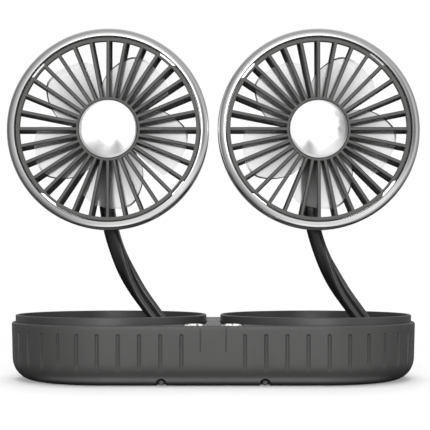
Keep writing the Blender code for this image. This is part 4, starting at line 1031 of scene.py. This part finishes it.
def edge_share(u, v):
    # A painted shade line along the outer part of the leading edge, and along the tip for the first part of its run.
    lead = (1.0 - eased(u, 0.026, 0.010)) * eased(v, 0.25, 0.2)
    tip = (1.0 - eased(1.0 - v, 0.030, 0.014)) * (1.0 - eased(u, 0.40, 0.25))
    return max(lead, tip)


def reach_share(u, v):
    # Share for the painted root shade: the blade is lighter towards the tip, and less so near the leading edge.
    return v * (0.55 + 0.45 * eased(u, 0.0, 0.7))


def add_blade(bm, turn, centre):
    us = sorted({step / BLADE_COLUMNS for step in range(BLADE_COLUMNS + 1)} | set(BLADE_FINE_U))
    vs = [step / BLADE_ROWS for step in range(BLADE_ROWS)] + list(BLADE_FINE_V)
    edge = bm.verts.layers.float["edge"]
    reach = bm.verts.layers.float["reach"]
    sheets = []
    for offset in (0.0, BLADE_THICKNESS):
        grid = []
        for u in us:
            line = []
            for v in vs:
                vert = bm.verts.new(blade_spot(u, v, turn, centre, offset))
                vert[edge] = edge_share(u, v)
                vert[reach] = reach_share(u, v)
                line.append(vert)
            grid.append(line)
        sheets.append(grid)
    end_u = len(us) - 1
    end_v = len(vs) - 1
    for grid in sheets:
        for a in range(end_u):
            for b in range(end_v):
                bm.faces.new((grid[a][b], grid[a + 1][b], grid[a + 1][b + 1], grid[a][b + 1]))
    border = [(a, 0) for a in range(end_u)] + [(end_u, b) for b in range(end_v)]
    border += [(a, end_v) for a in range(end_u, 0, -1)] + [(0, b) for b in range(end_v, 0, -1)]
    join_rings(bm, *([grid[a][b] for a, b in border] for grid in sheets))


def make_impeller(label, side, mats):
    centre = head_centre(side)
    bm = bmesh.new()
    for layer in ("edge", "reach"):
        bm.verts.layers.float.new(layer)
    for turn in full_turn(BLADE_COUNT):
        add_blade(bm, turn, centre)
    blades = new_object(f"{label}_blades", bm, 45.0)
    finish_piece(blades, f"{label}_fan", mats["blade"], "blade", f"{label}_impeller")
    skirt = REAR_FRONT - 0.0004
    bore = IMPELLER_HUB - IMPELLER_WALL
    floor = BLADE_FRONT + IMPELLER_WALL
    hub = [
        (0.0, BLADE_FRONT), (IMPELLER_HUB, BLADE_FRONT, 0.0010), (IMPELLER_HUB, skirt, 0.0002),
        (bore, skirt, 0.0002), (bore, floor, 0.0), (0.0, floor),
    ]
    shell = lathe(f"{label}_impeller_hub", rounded(hub), 96, "Y", centre)
    finish_piece(shell, f"{label}_fan", mats["hub"], "blade")


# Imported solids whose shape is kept, with their materials
KEPT_SINGLE = {
    "bottom_cover": "casing", "foot_pad": "pad", "control_board": "board", "cord_inlet": "pad",
    **{f"cover_screw_{number}": "steel" for number in (1, 2, 3, 4)},
}
KEPT_PAIRS = {
    "turning_bush": "bush", "switch": "steel", "retaining_ring": "steel", "arm_socket": "cup", "tilt_pin": "steel",
    "motor": "steel", "motor_shaft": "steel", "tilt_bracket": "duct",
}


def dress_nodes(mats):
    kept = dict(KEPT_SINGLE)
    for label, _ in SIDES:
        kept.update({f"{label}_{name}": key for name, key in KEPT_PAIRS.items()})
    for name, key in kept.items():
        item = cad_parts[name]
        paint(item, mats[key])
        bevel = add_bevel(item, 0.00012)
        bevel.limit_method = "ANGLE"
        bevel.angle_limit = math.radians(40.0)


# Studio

FLOOR_RADIUS = 0.90
FLOOR_FADE = (0.16, 0.42)
FLOOR_SHOWN = 0.72

# What mirror reflections alone see on the floor: a painted dark patch that ends near the foot, and under it a thin
# painted glowing band, an emission that is no lamp, which weakens round the base's ends. Distances from the line
# between the cups' centres; BAND_ENDS is past a centre.
MIRRORED_PART = (END_RADIUS + 0.008, END_RADIUS + 0.020)
BAND_OUTSIDE = (END_RADIUS - 0.0035, END_RADIUS - 0.0010)
BAND_INSIDE = (END_RADIUS - 0.0070, END_RADIUS - 0.0045)
BAND_ENDS = (0.0, 0.040)
PAINTED_GLOW_STRENGTH = 1.5


def make_floor():
    # A white disc that keeps the contact shadow and fades out into the backdrop. It is darker to rays that bounce.
    bm = bmesh.new()
    bmesh.ops.create_circle(bm, cap_ends=True, segments=96, radius=FLOOR_RADIUS)
    floor = new_object("studio_floor", bm)
    material, tree, shader, place = start_material("studio_floor", (0.93, 0.93, 0.93), Roughness=0.9,
                                                   Specular_IOR_Level=0.1, Emission_Color=grey(1.0))
    path = tree.nodes.new("ShaderNodeLightPath")
    direct = path.outputs["Is Camera Ray"]
    mirrored = path.outputs["Is Glossy Ray"]
    tone = blend(tree, direct, grey(0.38), grey(0.93), "RGBA")
    # Painted dark reflection: mirror reflections see the floor nearly black near the base.
    set_inputs(tree, shader, Base_Color=blend(tree, mirrored, tone, grey(0.05), "RGBA"))

    axes = split_axes(tree, place)
    across = combine(tree, "ABSOLUTE", axes["X"])
    past_middle = combine(tree, "MAXIMUM", combine(tree, "SUBTRACT", across, HALF_SPACING), 0.0)
    squared = combine(tree, "ADD", multiply(tree, past_middle, past_middle), multiply(tree, axes["Y"], axes["Y"]))
    from_line = combine(tree, "SQRT", squared)
    fade = map_range(tree, measure(tree, "LENGTH", place), *FLOOR_FADE, 1.0, 0.0, "SMOOTHSTEP")
    thin = map_range(tree, direct, 0.0, 1.0, 1.0, FLOOR_SHOWN)
    near = blend(tree, mirrored, 1.0, map_range(tree, from_line, *MIRRORED_PART, 1.0, 0.0))
    set_inputs(tree, shader, Alpha=multiply(tree, fade, thin, near))

    # Painted glow: an emission band under the foot that only mirror reflections see.
    band = map_range(tree, from_line, *BAND_OUTSIDE, PAINTED_GLOW_STRENGTH, 0.0)
    ends = map_range(tree, past_middle, *BAND_ENDS, 1.0, 0.0)
    under = map_range(tree, from_line, *BAND_INSIDE)
    set_inputs(tree, shader, Emission_Strength=multiply(tree, band, ends, under, mirrored))
    floor.data.materials.append(material)


# What bright plating sees: (degrees from the axis of the front softbox, level) towards each side of the studio
SEEN = {
    "left": [(0, 2.6), (17, 1.5), (21, 0.60), (36, 0.40), (46, 0.36), (56, 0.26), (68, 0.21), (80, 0.13), (104, 0.12),
             (118, 0.22)],
    "right": [(0, 2.6), (13, 1.8), (17, 0.45), (24, 0.18), (42, 0.22), (52, 0.52), (72, 0.50), (88, 0.30),
              (110, 0.22)],
    "above": [(0, 2.6), (18, 1.6), (22, 1.0), (28, 0.80), (36, 0.57), (46, 0.45), (60, 0.38), (76, 0.34), (92, 0.39),
              (116, 0.60)],
    "below": [(0, 2.6), (4, 1.8), (6, 0.75), (9, 0.46), (14, 0.55), (20, 0.75), (30, 0.64), (40, 0.72), (52, 0.94),
              (62, 0.82), (72, 0.50), (80, 0.12), (88, 0.03)],
    "lower_left": [(0, 2.6), (9, 1.5), (12, 0.70), (20, 0.42), (28, 0.42), (38, 0.29), (52, 0.24), (64, 0.15),
                   (76, 0.09), (90, 0.05)],
    "lower_right": [(0, 2.6), (15, 0.90), (22, 0.78), (40, 0.82), (52, 0.72), (62, 0.52), (74, 0.30), (88, 0.14),
                    (100, 0.04)],
}
# Grey levels of the diffuse light, by how far a direction points to either side
SOFT_STOPS = [(0.0, 1.25), (0.20, 1.05), (0.42, 0.45), (0.62, 0.14), (1.0, 0.06)]
SOFTBOX_RISE = math.radians(6.7)
STREAK_DEGREES = 7.0

CAMERA_PLACE = (0.0009, -0.650, 0.061)
CAMERA_PITCH = math.radians(90.0 + 2.53)
CAMERA_LENS = 98.5
CAMERA_SENSOR = 36.0


def studio_reflection(tree):
    # Levels by the angle from the softbox, blended by how upright the direction lies. Lower corners have their own.
    direction = tree.nodes.new("ShaderNodeTexCoord").outputs["Generated"]
    sine, cosine = math.sin(SOFTBOX_RISE), math.cos(SOFTBOX_RISE)
    ahead = measure(tree, "DOT_PRODUCT", direction, (0.0, -cosine, sine))
    up = measure(tree, "DOT_PRODUCT", direction, (0.0, sine, cosine))
    across = measure(tree, "DOT_PRODUCT", direction, (1.0, 0.0, 0.0))
    streaks = node(tree, "ShaderNodeTexNoise", Vector=direction, Scale=12.0, Detail=4.0)
    wander = multiply(tree, combine(tree, "SUBTRACT", streaks.outputs["Fac"], 0.5), STREAK_DEGREES)
    turned = combine(tree, "ADD", combine(tree, "DEGREES", combine(tree, "ARCCOSINE", ahead)), wander)
    across_squared = multiply(tree, across, across)
    up_squared = multiply(tree, up, up)
    whole = combine(tree, "ADD", combine(tree, "ADD", across_squared, up_squared), 0.0001)
    upright = combine(tree, "DIVIDE", up_squared, whole)
    level = combine(tree, "DIVIDE", across_squared, whole)
    is_right = combine(tree, "GREATER_THAN", across, 0.0)
    is_above = combine(tree, "GREATER_THAN", up, 0.0)
    seen = {name: grey_ramp(tree, turned, stops, 180.0) for name, stops in SEEN.items()}
    sides = blend(tree, is_right, seen["left"], seen["right"])
    heights = blend(tree, is_above, seen["below"], seen["above"])
    straight = blend(tree, upright, sides, heights)
    corners_below = blend(tree, is_right, seen["lower_left"], seen["lower_right"])
    corner = multiply(tree, upright, level, 4.0, combine(tree, "SUBTRACT", 1.0, is_above))
    return blend(tree, corner, straight, corners_below)


def studio_softness(tree):
    # Diffuse light: strong from the front and above, weak from both sides.
    direction = tree.nodes.new("ShaderNodeTexCoord").outputs["Generated"]
    side = combine(tree, "ABSOLUTE", split_axes(tree, direction)["X"])
    return grey_ramp(tree, side, SOFT_STOPS, 1.0)


def mix_shaders(tree, share, first, second):
    mix = node(tree, "ShaderNodeMixShader", Fac=share)
    feed(tree, mix.inputs[1], first.outputs[0])
    feed(tree, mix.inputs[2], second.outputs[0])
    return mix


def make_world():
    # The camera sees plain white; diffuse and glossy rays see the studio.
    world = bpy.data.worlds.new("studio")
    bpy.context.scene.world = world
    world.use_nodes = True
    tree = world.node_tree
    tree.nodes.clear()
    path = tree.nodes.new("ShaderNodeLightPath")
    white = node(tree, "ShaderNodeBackground", Color=grey(1.0), Strength=1.0)
    soft = node(tree, "ShaderNodeBackground", Color=studio_softness(tree), Strength=1.10)
    studio = node(tree, "ShaderNodeBackground", Color=studio_reflection(tree), Strength=1.0)
    lighting = mix_shaders(tree, path.outputs["Is Glossy Ray"], soft, studio)
    direct = combine(tree, "MAXIMUM", path.outputs["Is Camera Ray"], path.outputs["Is Transmission Ray"])
    shown = mix_shaders(tree, direct, lighting, white)
    node(tree, "ShaderNodeOutputWorld", Surface=shown.outputs[0])


def add_area(name, place, target, width, height, power):
    light = bpy.data.lights.new(name, "AREA")
    light.shape = "RECTANGLE"
    light.size = width
    light.size_y = height
    light.energy = power
    item = link_object(name, light)
    item.location = place
    item.rotation_euler = (Vector(target) - Vector(place)).to_track_quat("-Z", "Y").to_euler()
    item.visible_glossy = False


def make_lights():
    add_area("key_front", (0.0, -0.42, 0.20), (0.0, 0.0, 0.05), width=0.20, height=0.12, power=1.00)
    add_area("top_soft", (0.0, 0.15, 1.20), (0.0, 0.0, 0.0), width=1.0, height=1.0, power=7.0)


def make_camera():
    camera = bpy.data.cameras.new("camera")
    item = link_object("camera", camera)
    item.location = CAMERA_PLACE
    item.rotation_euler = (CAMERA_PITCH, 0.0, 0.0)
    camera.lens = CAMERA_LENS
    camera.sensor_width = CAMERA_SENSOR
    camera.clip_start = 0.01
    camera.clip_end = 50.0
    bpy.context.scene.camera = item


def main():
    bpy.context.scene.view_settings.view_transform = "Standard"
    mats = make_materials()
    make_casing(mats)
    make_lenses(mats)
    make_buttons(mats)
    make_cups(mats)
    make_arms(mats)
    for label, side in SIDES:
        make_ring(label, side, mats)
        make_front_grille(label, side, mats)
        make_cap(label, side, mats)
        make_duct(label, side, mats)
        make_impeller(label, side, mats)
    dress_nodes(mats)
    make_floor()
    make_world()
    make_lights()
    make_camera()


main()
